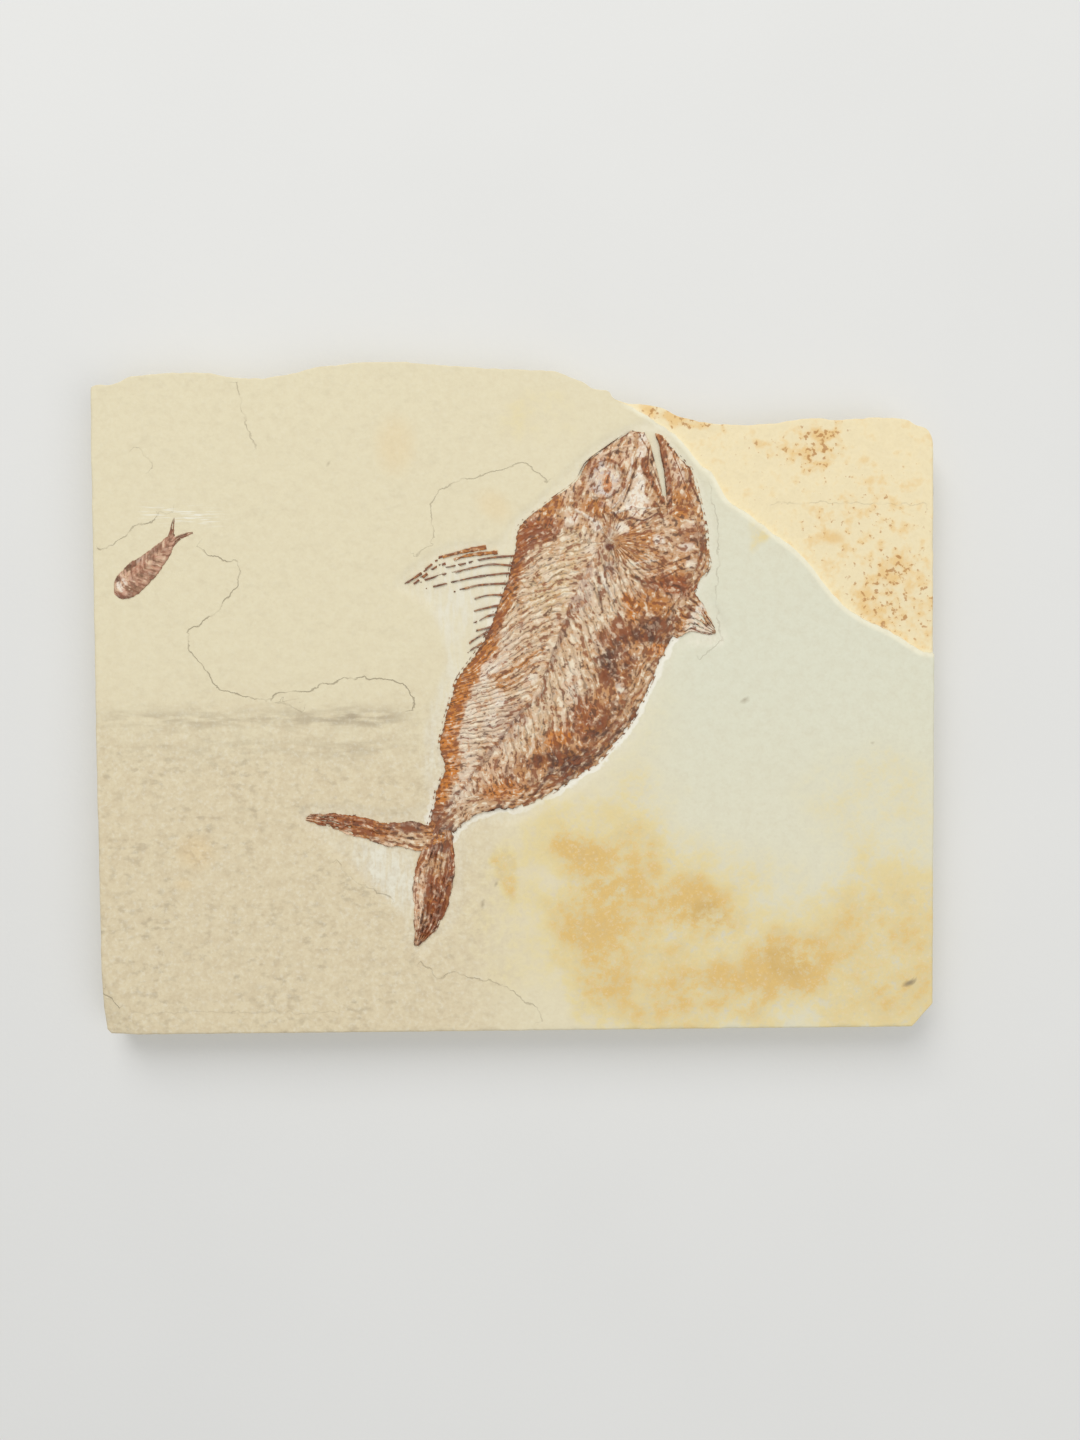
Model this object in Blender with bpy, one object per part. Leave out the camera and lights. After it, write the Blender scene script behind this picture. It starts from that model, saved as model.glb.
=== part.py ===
"""Fossil fish slab: a thin sawn plate of fine limestone with a large and a small fish in its face.

The slab lies on its back. X runs along its sawn lower edge, Y up its face and Z out of the face.
The origin is the middle of its back. Blender's unit is the metre.
Places on the face are written in millimetres from the lower left corner of the slab's box.
Heights of the fishes are written in millimetres above the stone's face.
"""

import bmesh
import bpy
import numpy as np

MM = 0.001

# The stone plate
WIDTH = 180.0
HEIGHT = 143.0
THICKNESS = 9.5
ARRIS = 0.45            # width of the worn edge round the face
BACK_ARRIS = 0.3        # width of the worn edge round the back
GAP = 0.3               # room left between a fish and its pocket in the stone

# The sawn edges, from the lower end of the break at the left, round to its right end
SAWN_LEFT = ((0.1, 137.3), (0.0, 129.0), (0.5, 60.0), (1.2, 6.0), (1.6, 0.8))
SAWN_BOTTOM = ((2.6, 0.0), (173.9, 0.0))
SAWN_RIGHT = ((178.3, 5.0), (179.5, 80.0), (180.0, 122.0))

# The natural break along the top, from right to left
BREAK = (
    (180.0, 122.0), (179.8, 125.0), (178.8, 127.4), (176.3, 128.6), (173.6, 129.9), (167.2, 130.1),
    (160.4, 129.7), (153.8, 130.1), (144.2, 129.0), (138.0, 128.9), (131.4, 129.5), (125.3, 130.9),
    (121.1, 133.0), (114.6, 133.8), (111.4, 134.9), (110.4, 136.2), (107.4, 136.7), (104.5, 138.4),
    (100.6, 139.9), (97.4, 140.6), (88.1, 141.1), (78.9, 141.7), (65.3, 142.9), (57.4, 142.7),
    (47.4, 141.7), (43.6, 140.7), (37.2, 139.7), (31.0, 139.9), (24.6, 140.9), (16.3, 140.9),
    (9.4, 140.4), (7.8, 140.0), (4.6, 138.7), (2.0, 138.6), (0.5, 138.3), (0.1, 137.3),
)
BREAK_POINTS = 76
BREAK_ROUGHNESS = 0.7   # how far the broken side swings in below the face

# The slab's outline at rising levels: level, how far it is drawn in, and how much the break swings in
SLAB_RINGS = (
    (0.0, BACK_ARRIS, 0.9), (BACK_ARRIS, 0.0, 0.9), (3.0, 0.0, 0.45), (5.6, 0.0, 1.0), (7.6, 0.0, 0.3),
    (THICKNESS - ARRIS, 0.0, 0.0), (THICKNESS, ARRIS, 0.0),
)

# Where the top layer of stone has split away in the upper right, baring the bed below it
LEDGE_DROP = 0.9
LEDGE_SLOPE = 0.35
LEDGE = (
    (111.4, 134.6), (114.0, 133.3), (117.2, 131.6), (121.4, 128.8), (125.6, 125.5), (129.8, 120.2),
    (132.4, 118.0), (135.1, 112.9), (138.9, 110.1), (145.4, 105.1), (149.2, 102.2), (153.0, 98.4),
    (156.2, 94.1), (159.5, 90.2), (164.2, 86.8), (169.9, 84.0), (174.7, 80.9), (177.1, 79.6),
    (181.0, 79.4),
)
BEYOND_LEDGE = ((190.0, 79.0), (190.0, 150.0), (111.0, 150.0))

# The chipped lower left corner: where its facet meets the face, and how low it falls at the corner
CHIP = ((-1.0, 19.5), (2.1, 11.8), (4.3, 7.9), (6.9, 4.7), (9.5, -1.0))
CHIP_CORNER = (-1.0, -1.0)
CHIP_DROP = 2.2

# The shallow bed that was scraped out round the large fish
SCRAPED_DEPTH = 0.3
SCRAPED_SLOPE = 0.9
SCRAPED_POINTS = 110
SCRAPED = (
    (118.5, 130.6), (108.0, 126.0), (102.0, 120.8), (95.0, 114.0), (88.3, 108.5), (86.0, 104.8),
    (75.0, 104.2), (64.2, 96.5), (66.0, 93.0), (72.0, 90.0), (75.0, 83.0), (75.0, 77.0),
    (72.0, 70.0), (70.5, 62.0), (70.2, 54.0), (69.0, 48.5), (60.0, 48.2), (46.0, 49.2),
    (42.5, 45.8), (48.0, 41.5), (57.0, 38.0), (65.0, 36.0), (65.5, 28.0), (66.2, 18.5),
    (69.0, 15.2), (73.5, 18.5), (78.5, 25.0), (79.6, 36.0), (81.0, 42.5), (91.0, 44.3),
    (104.0, 51.0), (114.5, 60.0), (121.0, 70.0), (125.5, 80.5), (134.5, 81.8), (136.0, 86.0),
    (132.5, 93.0), (134.6, 99.0), (134.0, 107.0), (132.6, 113.0), (130.0, 118.6), (126.0, 124.4),
    (121.8, 129.6),
)

# The large fish's trunk: the line of its back, of its backbone and of its belly, head to tail
BACK = (
    (103.2, 116.8), (96.9, 112.3), (90.9, 107.4), (90.0, 102.5), (88.0, 94.8), (84.2, 85.1),
    (81.5, 80.5), (77.6, 75.2), (75.6, 69.2), (73.8, 62.0), (74.4, 55.8), (72.6, 50.0),
    (70.9, 43.5),
)
BACKBONE = (
    (110.5, 106.5), (107.5, 101.4), (101.0, 88.7), (94.9, 71.5), (88.3, 64.0), (80.4, 54.2),
    (73.2, 42.2),
)
BELLY = (
    (130.6, 97.5), (127.4, 91.4), (125.2, 86.1), (121.1, 78.5), (116.3, 67.9), (112.4, 62.3),
    (107.9, 57.3), (102.5, 53.6), (97.1, 50.2), (90.9, 47.3), (88.0, 48.0), (83.5, 46.9),
    (79.6, 45.1), (75.7, 40.4),
)
VERTEBRAE = 32
RIB_LEAN = 0.2          # how far a rib leans tailwards, as a share of the trunk's length
RIB_RELIEF = 0.24
TRUNK_SWELL = 0.62
BACKBONE_CREST = 0.22
BELLY_CREST = 0.15
FISH_EDGE = -0.12       # height of the fish's rim, just proud of the scraped bed
FISH_BASE = -0.9        # height of its underside, in the stone
BASE_STEP = 0.02        # the joined pieces' undersides differ by this, so that none lie in one plane

# The skull, its eye and the bones that stand out on it
EYE = (110.0, 116.5)
PUPIL_RADII = (1.2, 2.1)
ORBIT_RADII = (3.5, 4.9)
ORBIT_RIM = 0.7
SKULL_SPOKES = 28
SKULL_HEIGHTS = (0.3, 0.02, 0.02, 0.5, 0.38, FISH_EDGE)     # pupil, eye, eye, rim, cheek, edge
SKULL = (
    (116.9, 127.8), (111.1, 124.8), (104.9, 120.6), (101.8, 115.6), (101.5, 110.0), (107.5, 103.5),
    (116.0, 103.8), (122.4, 107.5), (121.8, 113.7), (120.8, 119.4), (120.3, 121.6), (118.6, 123.7),
)

# Each bone's path, its width at the start of it and the height of its crest
BONE_EDGE = 0.2
BONE_BASE = -0.4
BONE_TAPER = 0.7
BONES = {
    "skull_roof": (((116.4, 127.4), (111.1, 124.0), (106.4, 120.7), (104.2, 117.6)), 1.3, 0.55),
    "upper_jaw": (((117.3, 126.2), (119.4, 121.2), (120.9, 114.5), (122.2, 108.6)), 1.5, 0.62),
    "cheek_strut": (((115.8, 123.1), (114.9, 118.2), (114.0, 112.9)), 0.8, 0.60),
    "gill_arch": (((110.6, 108.0), (115.2, 109.2), (119.5, 107.7), (123.2, 105.3)), 1.1, 0.66),
    "shoulder_bone": (((107.0, 101.5), (109.4, 97.6), (114.2, 92.0), (119.2, 86.8)), 1.4, 0.78),
}

# The lower jaw's two edges, from its tip
LOWER_JAW = (
    ((120.6, 126.9), (121.4, 124.4), (122.2, 120.5), (122.8, 114.0), (123.4, 107.5), (124.0, 103.0)),
    ((121.8, 127.1), (125.3, 122.3), (128.0, 118.4), (130.0, 112.0), (131.0, 106.4), (131.0, 103.0)),
)
JAW_SWELL = 0.78
JAW_GROOVE = 0.16

# The gill cover, a fan of fine ridges spread from its hinge
GILL_HINGE = (110.6, 104.2)
GILL_COVER = (
    (114.0, 108.8), (119.5, 108.4), (125.0, 107.6), (130.4, 106.4), (131.1, 102.0), (131.8, 98.7),
    (129.4, 94.6), (124.5, 92.8), (118.5, 93.6), (113.0, 97.0), (109.0, 100.5), (107.8, 104.5),
    (109.5, 108.0),
)
GILL_SPOKES = 34
GILL_RINGS = (0.3, 0.62, 0.9, 1.0)
GILL_HEIGHTS = (0.5, 0.45, 0.3, FISH_EDGE)
GILL_RIDGES = (0.0, 0.1, 0.1, 0.0)

# The forked tail and the pelvic fin: the two edges of each, from its root to its tip
UPPER_LOBE = (
    ((72.6, 44.2), (69.6, 44.7), (64.7, 45.0), (60.9, 45.1), (57.0, 46.3), (46.4, 46.7), (45.4, 46.0)),
    ((73.4, 40.4), (69.0, 38.6), (63.0, 39.5), (59.6, 40.6), (54.5, 41.7), (47.6, 44.6), (45.3, 45.4)),
)
LOWER_LOBE = (
    ((70.6, 42.2), (68.5, 36.5), (68.0, 32.0), (68.0, 28.0), (68.6, 23.7), (68.9, 19.4), (69.2, 18.5)),
    ((76.0, 42.2), (76.8, 37.5), (76.6, 33.0), (75.6, 27.5), (74.0, 23.4), (71.0, 19.6), (69.9, 18.7)),
)
PELVIC_FIN = (
    ((126.6, 95.2), (128.6, 93.0), (130.2, 90.4), (131.8, 87.0), (132.9, 84.9)),
    ((122.6, 84.4), (124.6, 83.4), (127.2, 84.7), (130.4, 84.4), (132.8, 84.3)),
)
FINS = {"upper_lobe": UPPER_LOBE, "lower_lobe": LOWER_LOBE, "pelvic_fin": PELVIC_FIN}
FIN_CREST = 0.3
FIN_RELIEF = 0.14

# The dorsal fin's rays, each from inside the back to its tip, and their widths at the two ends
DORSAL_RAYS = (
    ((91.6, 103.6), (83.8, 103.3), (79.0, 102.6), (75.1, 101.4), (69.5, 98.2)),
    ((91.6, 101.3), (83.1, 100.7), (78.7, 99.6), (74.9, 98.9)),
    ((90.8, 99.3), (84.9, 99.3), (80.8, 98.5), (76.1, 97.7), (67.4, 95.2)),
    ((90.4, 97.6), (85.8, 97.3), (80.8, 96.5), (75.9, 95.3), (69.9, 94.4)),
    ((89.8, 95.9), (82.0, 94.8), (78.2, 93.9), (73.9, 92.7)),
    ((89.2, 93.3), (83.0, 92.5), (79.7, 91.4), (76.3, 89.9)),
    ((88.4, 91.6), (84.8, 90.8), (81.3, 89.4), (78.0, 87.3)),
    ((87.4, 89.3), (83.4, 87.5), (80.0, 85.8)),
    ((86.6, 87.2), (82.6, 85.1), (79.6, 83.4)),
    ((85.6, 84.8), (81.8, 82.8), (79.2, 81.4)),
    ((84.8, 82.3), (78.5, 79.4)),
)
RAY_WIDTHS = (0.9, 0.55)
RAY_CREST = 0.12
RAY_EDGE = -0.2
RAY_BASE = -0.7

# The small fish: its back and its belly from snout to tail, and the two lobes of its forked tail
SMALL_BODY = (
    (
        (4.9, 95.6), (5.0, 97.2), (6.3, 99.3), (8.2, 100.9), (10.9, 102.0), (13.0, 103.7),
        (16.3, 106.1), (17.0, 106.8),
    ),
    (
        (5.0, 93.9), (6.0, 92.8), (8.8, 93.3), (10.3, 94.5), (12.4, 96.8), (15.4, 99.8),
        (17.4, 103.4), (18.0, 105.6),
    ),
)
SMALL_LOBES = (
    (
        ((16.0, 105.8), (16.7, 107.4), (17.2, 109.0), (17.5, 109.8)),
        ((17.6, 105.4), (17.9, 106.8), (18.0, 108.6), (17.9, 109.8)),
    ),
    (
        ((16.8, 105.0), (18.3, 106.3), (20.2, 106.9), (21.4, 107.0)),
        ((17.2, 104.0), (18.7, 105.2), (20.6, 105.9), (21.5, 106.5)),
    ),
)
SMALL_VERTEBRAE = 12
SMALL_SWELL = 0.42
SMALL_RIB_RELIEF = 0.06
SMALL_LOBE_CREST = 0.14
SMALL_EDGE = 0.04
SMALL_BASE = -0.6

# Room above the face that the cutters pass through
CLEAR = 5.0

LIMESTONE = ("limestone", (0.72, 0.66, 0.50, 1.0), 0.85)
BROWN_BONE = ("brown_bone", (0.30, 0.13, 0.06, 1.0), 0.55)
PINK_BROWN_BONE = ("pink_brown_bone", (0.32, 0.15, 0.10, 1.0), 0.6)
SMOOTH_BELOW = np.radians(30)


def clear_scene():
    """Remove whatever the scene holds."""
    for old in list(bpy.data.objects):
        bpy.data.objects.remove(old, do_unlink=True)


def new_collection(name):
    """A collection in the scene."""
    collection = bpy.data.collections.new(name)
    bpy.context.scene.collection.children.link(collection)
    return collection


def curve_through(points, count):
    """count points, evenly spaced by chord, on a Catmull-Rom curve through the given points."""
    knots = np.asarray(points, float)
    ends = np.vstack([2 * knots[0] - knots[1], knots, 2 * knots[-1] - knots[-2]])
    along = np.concatenate([[0.0], np.cumsum(np.linalg.norm(np.diff(knots, axis=0), axis=1))])
    wanted = np.linspace(0.0, along[-1], count)
    leg = np.clip(np.searchsorted(along, wanted, side="right") - 1, 0, len(knots) - 2)
    share = ((wanted - along[leg]) / (along[leg + 1] - along[leg]))[:, None]
    before, start, end, after = ends[leg], ends[leg + 1], ends[leg + 2], ends[leg + 3]
    return 0.5 * (
        2 * start
        + (end - before) * share
        + (2 * before - 5 * start + 4 * end - after) * share**2
        + (3 * start - before - 3 * end + after) * share**3
    )


def anticlockwise(outline):
    """The outline, turned round if it runs clockwise."""
    outline = np.asarray(outline, float)
    ahead = np.roll(outline, -1, axis=0)
    area = np.sum(outline[:, 0] * ahead[:, 1] - ahead[:, 0] * outline[:, 1])
    return outline if area > 0 else outline[::-1]


def grown(outline, margin):
    """An anticlockwise outline moved outwards by a margin, or inwards where the margin is negative."""
    side = np.roll(outline, -1, axis=0) - outline
    side = side / np.linalg.norm(side, axis=1)[:, None]
    out = np.stack([side[:, 1], -side[:, 0]], axis=1)
    before = np.roll(out, 1, axis=0)
    bend = np.maximum(1.0 + np.sum(out * before, axis=1), 0.5)[:, None]
    return outline + margin * (out + before) / bend


def compass(count):
    """Directions at equal angles, all the way round."""
    turn = np.linspace(0, 2 * np.pi, count, endpoint=False)
    return np.stack([np.cos(turn), np.sin(turn)], axis=1)


def reached(outline, centre, directions):
    """The points where rays from a centre cross an outline."""
    corner = np.asarray(outline, float) - centre
    side = np.roll(corner, -1, axis=0) - corner
    ray_x, ray_y = directions[:, None, 0], directions[:, None, 1]
    crossing = ray_x * side[:, 1] - ray_y * side[:, 0]
    reach = (corner[:, 0] * side[:, 1] - corner[:, 1] * side[:, 0]) / crossing
    share = (corner[:, 0] * ray_y - corner[:, 1] * ray_x) / crossing
    hits = (reach > 0) & (share >= 0) & (share <= 1)
    return centre + directions * np.where(hits, reach, 0).max(axis=1)[:, None]


def mesh_object(name, points, faces, collection):
    """An object from points in millimetres on the face, with Z measured from the slab's back."""
    placed = (np.asarray(points, float) - (WIDTH / 2, HEIGHT / 2, 0.0)) * MM
    mesh = bpy.data.meshes.new(name)
    mesh.from_pydata(placed.tolist(), [], faces)
    builder = bmesh.new()
    builder.from_mesh(mesh)
    bmesh.ops.recalc_face_normals(builder, faces=builder.faces)
    builder.to_mesh(mesh)
    builder.free()
    obj = bpy.data.objects.new(name, mesh)
    collection.objects.link(obj)
    return obj


def loft(name, rings, levels, collection):
    """A closed solid through outlines of equal length, stacked at levels above the slab's back."""
    count = len(rings[0])
    points = [(*place, level) for ring, level in zip(rings, levels) for place in ring]
    top = (len(rings) - 1) * count
    faces = [tuple(range(count)), tuple(range(top, top + count))]
    for low in range(0, top, count):
        for i in range(count):
            ahead = (i + 1) % count
            faces.append((low + i, low + ahead, low + count + ahead, low + count + i))
    return mesh_object(name, points, faces, collection)


class Specimen:
    """A fish in the stone: modelled pieces joined in one solid, and a pocket for each in the stone.

    The first piece that is made becomes the fish. The others are hidden and joined to it.
    """

    def __init__(self, name, pockets):
        self.name = name
        self.pockets = pockets
        self.bones = new_collection(name + "_bones")
        self.fish = None

    def add(self, name, tops, faces, outline, base):
        """One piece: its modelled top, straight sides down from its outline, and a flat underside."""
        count = len(outline)
        under = np.column_stack([tops[outline, :2], np.full(count, base)])
        first = len(tops)
        faces = faces + [tuple(range(first, first + count))]
        for i in range(count):
            ahead = (i + 1) % count
            faces.append((int(outline[i]), int(outline[ahead]), first + ahead, first + i))
        points = np.vstack([tops, under]) + (0, 0, THICKNESS)
        if self.fish is None:
            self.fish = mesh_object(self.name, points, faces, bpy.context.scene.collection)
        else:
            mesh_object(name, points, faces, self.bones)
        around = grown(anticlockwise(tops[outline, :2]), GAP)
        levels = (THICKNESS + base - GAP, THICKNESS + CLEAR)
        loft("pocket_" + name, (around, around), levels, self.pockets)

    def add_grid(self, name, places, heights, base):
        """A piece whose top is a grid of rows and columns of points."""
        rows, columns = places.shape[:2]
        index = np.arange(rows * columns).reshape(rows, columns)
        faces = np.stack([index[:-1, :-1], index[:-1, 1:], index[1:, 1:], index[1:, :-1]], axis=2)
        outline = np.concatenate([index[0], index[1:, -1], index[-1, -2::-1], index[-2:0:-1, 0]])
        raised = np.broadcast_to(heights, (rows, columns)).reshape(-1)
        tops = np.column_stack([places.reshape(-1, 2), raised])
        self.add(name, tops, faces.reshape(-1, 4).tolist(), outline, base)

    def add_fan(self, name, centre, rings, heights, base):
        """A piece whose top is rings of points round a centre."""
        levels, count = heights.shape
        index = np.arange(levels * count).reshape(levels, count)
        ahead = np.roll(index, -1, axis=1)
        faces = np.stack([index[:-1], index[1:], ahead[1:], ahead[:-1]], axis=2).reshape(-1, 4).tolist()
        faces += [(levels * count, i, (i + 1) % count) for i in range(count)]
        tops = np.column_stack([np.vstack(rings), heights.reshape(-1)])
        middle = (*centre, heights[0].mean())
        self.add(name, np.vstack([tops, middle]), faces, index[-1], base)

    def add_bar(self, name, path, widths, crest, edge, base, count=7):
        """A raised ridge along a path, with its widths at the path's two ends."""
        line = curve_through(path, count)
        ahead = np.gradient(line, axis=0)
        ahead = ahead / np.linalg.norm(ahead, axis=1)[:, None]
        half = np.linspace(*widths, count)[:, None] / 2
        across = np.stack([-ahead[:, 1], ahead[:, 0]], axis=1) * half
        places = np.stack([line - across, line, line + across], axis=1)
        self.add_grid(name, places, np.array([edge, crest, edge]), base)

    def add_blade(self, name, edges, stations, rays, heights, base):
        """A fin, jaw or body between two edges, its heights a formula of the way along and across."""
        first, second = (curve_through(edge, stations) for edge in edges)
        along = np.linspace(0.0, 1.0, stations)[:, None]
        across = np.linspace(0.0, 1.0, rays)[None, :]
        places = first[:, None] * (1 - across[..., None]) + second[:, None] * across[..., None]
        self.add_grid(name, places, heights(along, across), base)

    def join(self):
        """Join the pieces in one solid and hide the ones it was made from."""
        hide(self.bones)
        boolean(self.fish, "bones", "UNION", self.bones)
        return self.fish


def hide(collection):
    """Leave a collection's helpers out of the render."""
    for helper in collection.objects:
        helper.hide_render = True
        helper.display_type = "WIRE"


def boolean(obj, name, operation, collection):
    """Join or cut an object with every object of a collection."""
    modifier = obj.modifiers.new(name, "BOOLEAN")
    modifier.operation = operation
    modifier.operand_type = "COLLECTION"
    modifier.collection = collection
    modifier.solver = "EXACT"


def alternate(count):
    """A ridge and a furrow in turn."""
    return np.where(np.arange(count) % 2, 1.0, -1.0)


def arch(across):
    """A half round section: 0 at both edges and 1 in the middle."""
    return np.sqrt(np.clip(1 - (2 * across - 1) ** 2, 0, 1))


def add_trunk(fish):
    """The trunk: a swell with a crest on its backbone and a thick belly.

    Its rows of points lean tailwards on both sides of the backbone, and are rib and furrow in turn.
    """
    rows = 2 * VERTEBRAE + 1
    fine = 400
    back, bone, belly = (curve_through(line, fine) for line in (BACK, BACKBONE, BELLY))
    along = np.linspace(0.0, 1.0, rows)[:, None]
    across = np.array([-1, -0.86, -0.6, -0.34, -0.12, 0, 0.12, 0.34, 0.56, 0.74, 0.9, 1])[None, :]
    lean = np.clip(along + RIB_LEAN * np.abs(across) * np.sin(np.pi * along), 0.0, 1.0)
    at = np.rint(lean * (fine - 1)).astype(int)
    side = np.where((across < 0)[..., None], back[at], belly[at])
    places = bone[at] + (side - bone[at]) * np.abs(across)[..., None]

    swell = TRUNK_SWELL * np.sqrt(1 - across**2) * (0.55 + 0.45 * np.cos(along * 1.5))
    crest = BACKBONE_CREST * np.exp(-((across / 0.1) ** 2))
    thick = BELLY_CREST * np.exp(-(((across - 0.72) / 0.16) ** 2))
    ribs = RIB_RELIEF * alternate(rows)[:, None]
    heights = FISH_EDGE + np.where(np.abs(across) < 1, swell + crest + thick + ribs, 0.0)
    fish.add_grid("trunk", places, heights, FISH_BASE)


def add_skull(fish):
    """The skull: a pupil, a sunk eye, a raised rim round it and the cheek down to the outline."""
    eye = np.array(EYE)
    spokes = compass(SKULL_SPOKES)
    edge = reached(SKULL, eye, spokes)
    pupil = eye + spokes * PUPIL_RADII
    pupil_foot = eye + spokes * np.add(PUPIL_RADII, 0.5)
    rim = eye + spokes * np.add(ORBIT_RADII, ORBIT_RIM)
    rim_foot = eye + spokes * ORBIT_RADII
    short = np.linalg.norm(edge - eye, axis=1) < np.linalg.norm(rim - eye, axis=1) + 1.0
    rim[short] = (eye + (edge - eye) * 0.86)[short]
    rim_foot[short] = (eye + (edge - eye) * 0.74)[short]
    cheek = rim + (edge - rim) * 0.72
    heights = np.tile(np.array(SKULL_HEIGHTS)[:, None], (1, SKULL_SPOKES))
    rings = (pupil, pupil_foot, rim_foot, rim, cheek, edge)
    fish.add_fan("skull", EYE, rings, heights, FISH_BASE + BASE_STEP)


def add_gill_cover(fish):
    """The gill cover: a low dome with ridges fanned from its hinge."""
    hinge = np.array(GILL_HINGE)
    edge = reached(GILL_COVER, hinge, compass(GILL_SPOKES))
    rings = [hinge + (edge - hinge) * share for share in GILL_RINGS]
    heights = np.array(GILL_HEIGHTS)[:, None] + np.outer(GILL_RIDGES, alternate(GILL_SPOKES))
    fish.add_fan("gill_cover", GILL_HINGE, rings, heights, FISH_BASE + 2 * BASE_STEP)


def jaw_heights(along, across):
    """The lower jaw: a round bar with a groove along it, that sinks at its hinge."""
    groove = JAW_GROOVE * (np.abs(across - 0.5) < 0.1)
    return FISH_EDGE + (JAW_SWELL * arch(across) - groove) * (1 - 0.6 * along**6)


def fin_heights(along, across):
    """A fin: ray and furrow in turn, thinning to its tip, with its two edges at the fish's rim."""
    ridges = FIN_RELIEF * alternate(across.shape[1]) * np.sqrt(1 - along)
    inside = (across > 0) & (across < 1)
    return np.where(inside, FIN_CREST * (1 - 0.6 * along) + ridges, FISH_EDGE)


def large_fish(pockets):
    """The large fish, one solid: its trunk, joined with every bone and fin that grows on it."""
    fish = Specimen("large_fish", pockets)
    add_trunk(fish)
    add_skull(fish)
    add_gill_cover(fish)
    fish.add_blade("lower_jaw", LOWER_JAW, 11, 7, jaw_heights, FISH_BASE + 3 * BASE_STEP)
    for step, (name, edges) in enumerate(FINS.items(), 4):
        fish.add_blade(name, edges, 9, 8, fin_heights, FISH_BASE + step * BASE_STEP)
    for step, (name, (path, width, crest)) in enumerate(BONES.items()):
        widths = (width, width * BONE_TAPER)
        fish.add_bar(name, path, widths, crest, BONE_EDGE, BONE_BASE - step * BASE_STEP)
    for step, path in enumerate(DORSAL_RAYS):
        base = RAY_BASE - step * BASE_STEP / 2
        fish.add_bar(f"dorsal_ray_{step + 1}", path, RAY_WIDTHS, RAY_CREST, RAY_EDGE, base)
    return fish.join()


def small_body_heights(along, across):
    """The small fish's body: a half round swell that thins tailwards, rib and furrow in turn."""
    ribs = SMALL_RIB_RELIEF * alternate(len(along))[:, None]
    inside = (across > 0) & (across < 1) & (along > 0) & (along < 1)
    return SMALL_EDGE + np.where(inside, SMALL_SWELL * arch(across) * (1 - 0.4 * along) + ribs, 0.0)


def small_lobe_heights(along, across):
    """A lobe of the small fish's tail, thinning to its tip."""
    return SMALL_EDGE + SMALL_LOBE_CREST * (1 - along) * ((across > 0) & (across < 1))


def small_fish(pockets):
    """The small fish, one solid: a ribbed body and a forked tail."""
    fish = Specimen("small_fish", pockets)
    stations = 2 * SMALL_VERTEBRAE + 1
    fish.add_blade("small_body", SMALL_BODY, stations, 7, small_body_heights, SMALL_BASE)
    for step, edges in enumerate(SMALL_LOBES, 1):
        base = SMALL_BASE + step * BASE_STEP
        fish.add_blade(f"small_lobe_{step}", edges, 5, 4, small_lobe_heights, base)
    return fish.join()


def slab_outline(inset, swing):
    """The slab's outline, anticlockwise, drawn in by an inset, its broken side also by a rough swing."""
    sawn = np.array(SAWN_LEFT + SAWN_BOTTOM + SAWN_RIGHT)
    broken = curve_through(BREAK, BREAK_POINTS)[1:-1]
    run = np.arange(len(broken))
    rough = 0.5 + 0.3 * np.sin(0.83 * run + 5 * swing) + 0.2 * np.sin(2.1 * run - 3 * swing)
    rough = rough * np.clip(np.minimum(run, run[::-1]) / 4, 0, 1)
    outline = np.vstack([sawn, broken])
    inwards = grown(outline, -1.0) - outline
    amount = np.full(len(outline), float(inset))
    amount[len(sawn):] += rough * swing * BREAK_ROUGHNESS
    return outline + inwards * amount[:, None]


def chip_cutter(cuts):
    """A wedge over the lower left corner, with its lowest point off the corner."""
    last = len(CHIP)
    rim = [(*place, THICKNESS) for place in CHIP]
    low = [(*CHIP_CORNER, THICKNESS - CHIP_DROP)]
    high = [(*place, THICKNESS + CLEAR) for place in (*CHIP, CHIP_CORNER)]
    facets = [(i, i + 1, last) for i in range(last - 1)]
    walls = [(i, i + 1, last + 2 + i, last + 1 + i) for i in range(last)]
    walls.append((last, 0, last + 1, 2 * last + 1))
    lid = [tuple(range(last + 1, 2 * last + 2))]
    mesh_object("chip_cutter", rim + low + high, facets + walls + lid, cuts)


def sunk_cutter(name, outline, depth, slope, cuts):
    """A cutter for an area sunk below the face, with sides that slope down to it."""
    outline = anticlockwise(outline)
    levels = (THICKNESS - depth, THICKNESS, THICKNESS + CLEAR)
    loft(name, (grown(outline, -slope), outline, outline), levels, cuts)


def limestone_slab(pockets):
    """The stone plate with its ledge, chipped corner, scraped bed and the fishes' pockets."""
    rings = [slab_outline(inset, swing) for _, inset, swing in SLAB_RINGS]
    levels = [level for level, _, _ in SLAB_RINGS]
    slab = loft("limestone_slab", rings, levels, bpy.context.scene.collection)
    cuts = new_collection("slab_cuts")
    sunk_cutter("ledge_cutter", LEDGE + BEYOND_LEDGE, LEDGE_DROP, LEDGE_SLOPE, cuts)
    scraped = curve_through((*SCRAPED, SCRAPED[0]), SCRAPED_POINTS)[:-1]
    sunk_cutter("scraped_cutter", scraped, SCRAPED_DEPTH, SCRAPED_SLOPE, cuts)
    chip_cutter(cuts)
    hide(cuts)
    boolean(slab, "cuts", "DIFFERENCE", cuts)
    boolean(slab, "pockets", "DIFFERENCE", pockets)
    return slab


def dress(obj, name, colour, roughness):
    """Give an object its finish and smooth its round stretches."""
    material = bpy.data.materials.new(name)
    material.use_nodes = True
    shader = material.node_tree.nodes["Principled BSDF"]
    shader.inputs["Base Color"].default_value = colour
    shader.inputs["Roughness"].default_value = roughness
    shader.inputs["Metallic"].default_value = 0.0
    obj.data.materials.append(material)
    obj.data.shade_smooth()
    obj.data.set_sharp_from_angle(angle=SMOOTH_BELOW)


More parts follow.
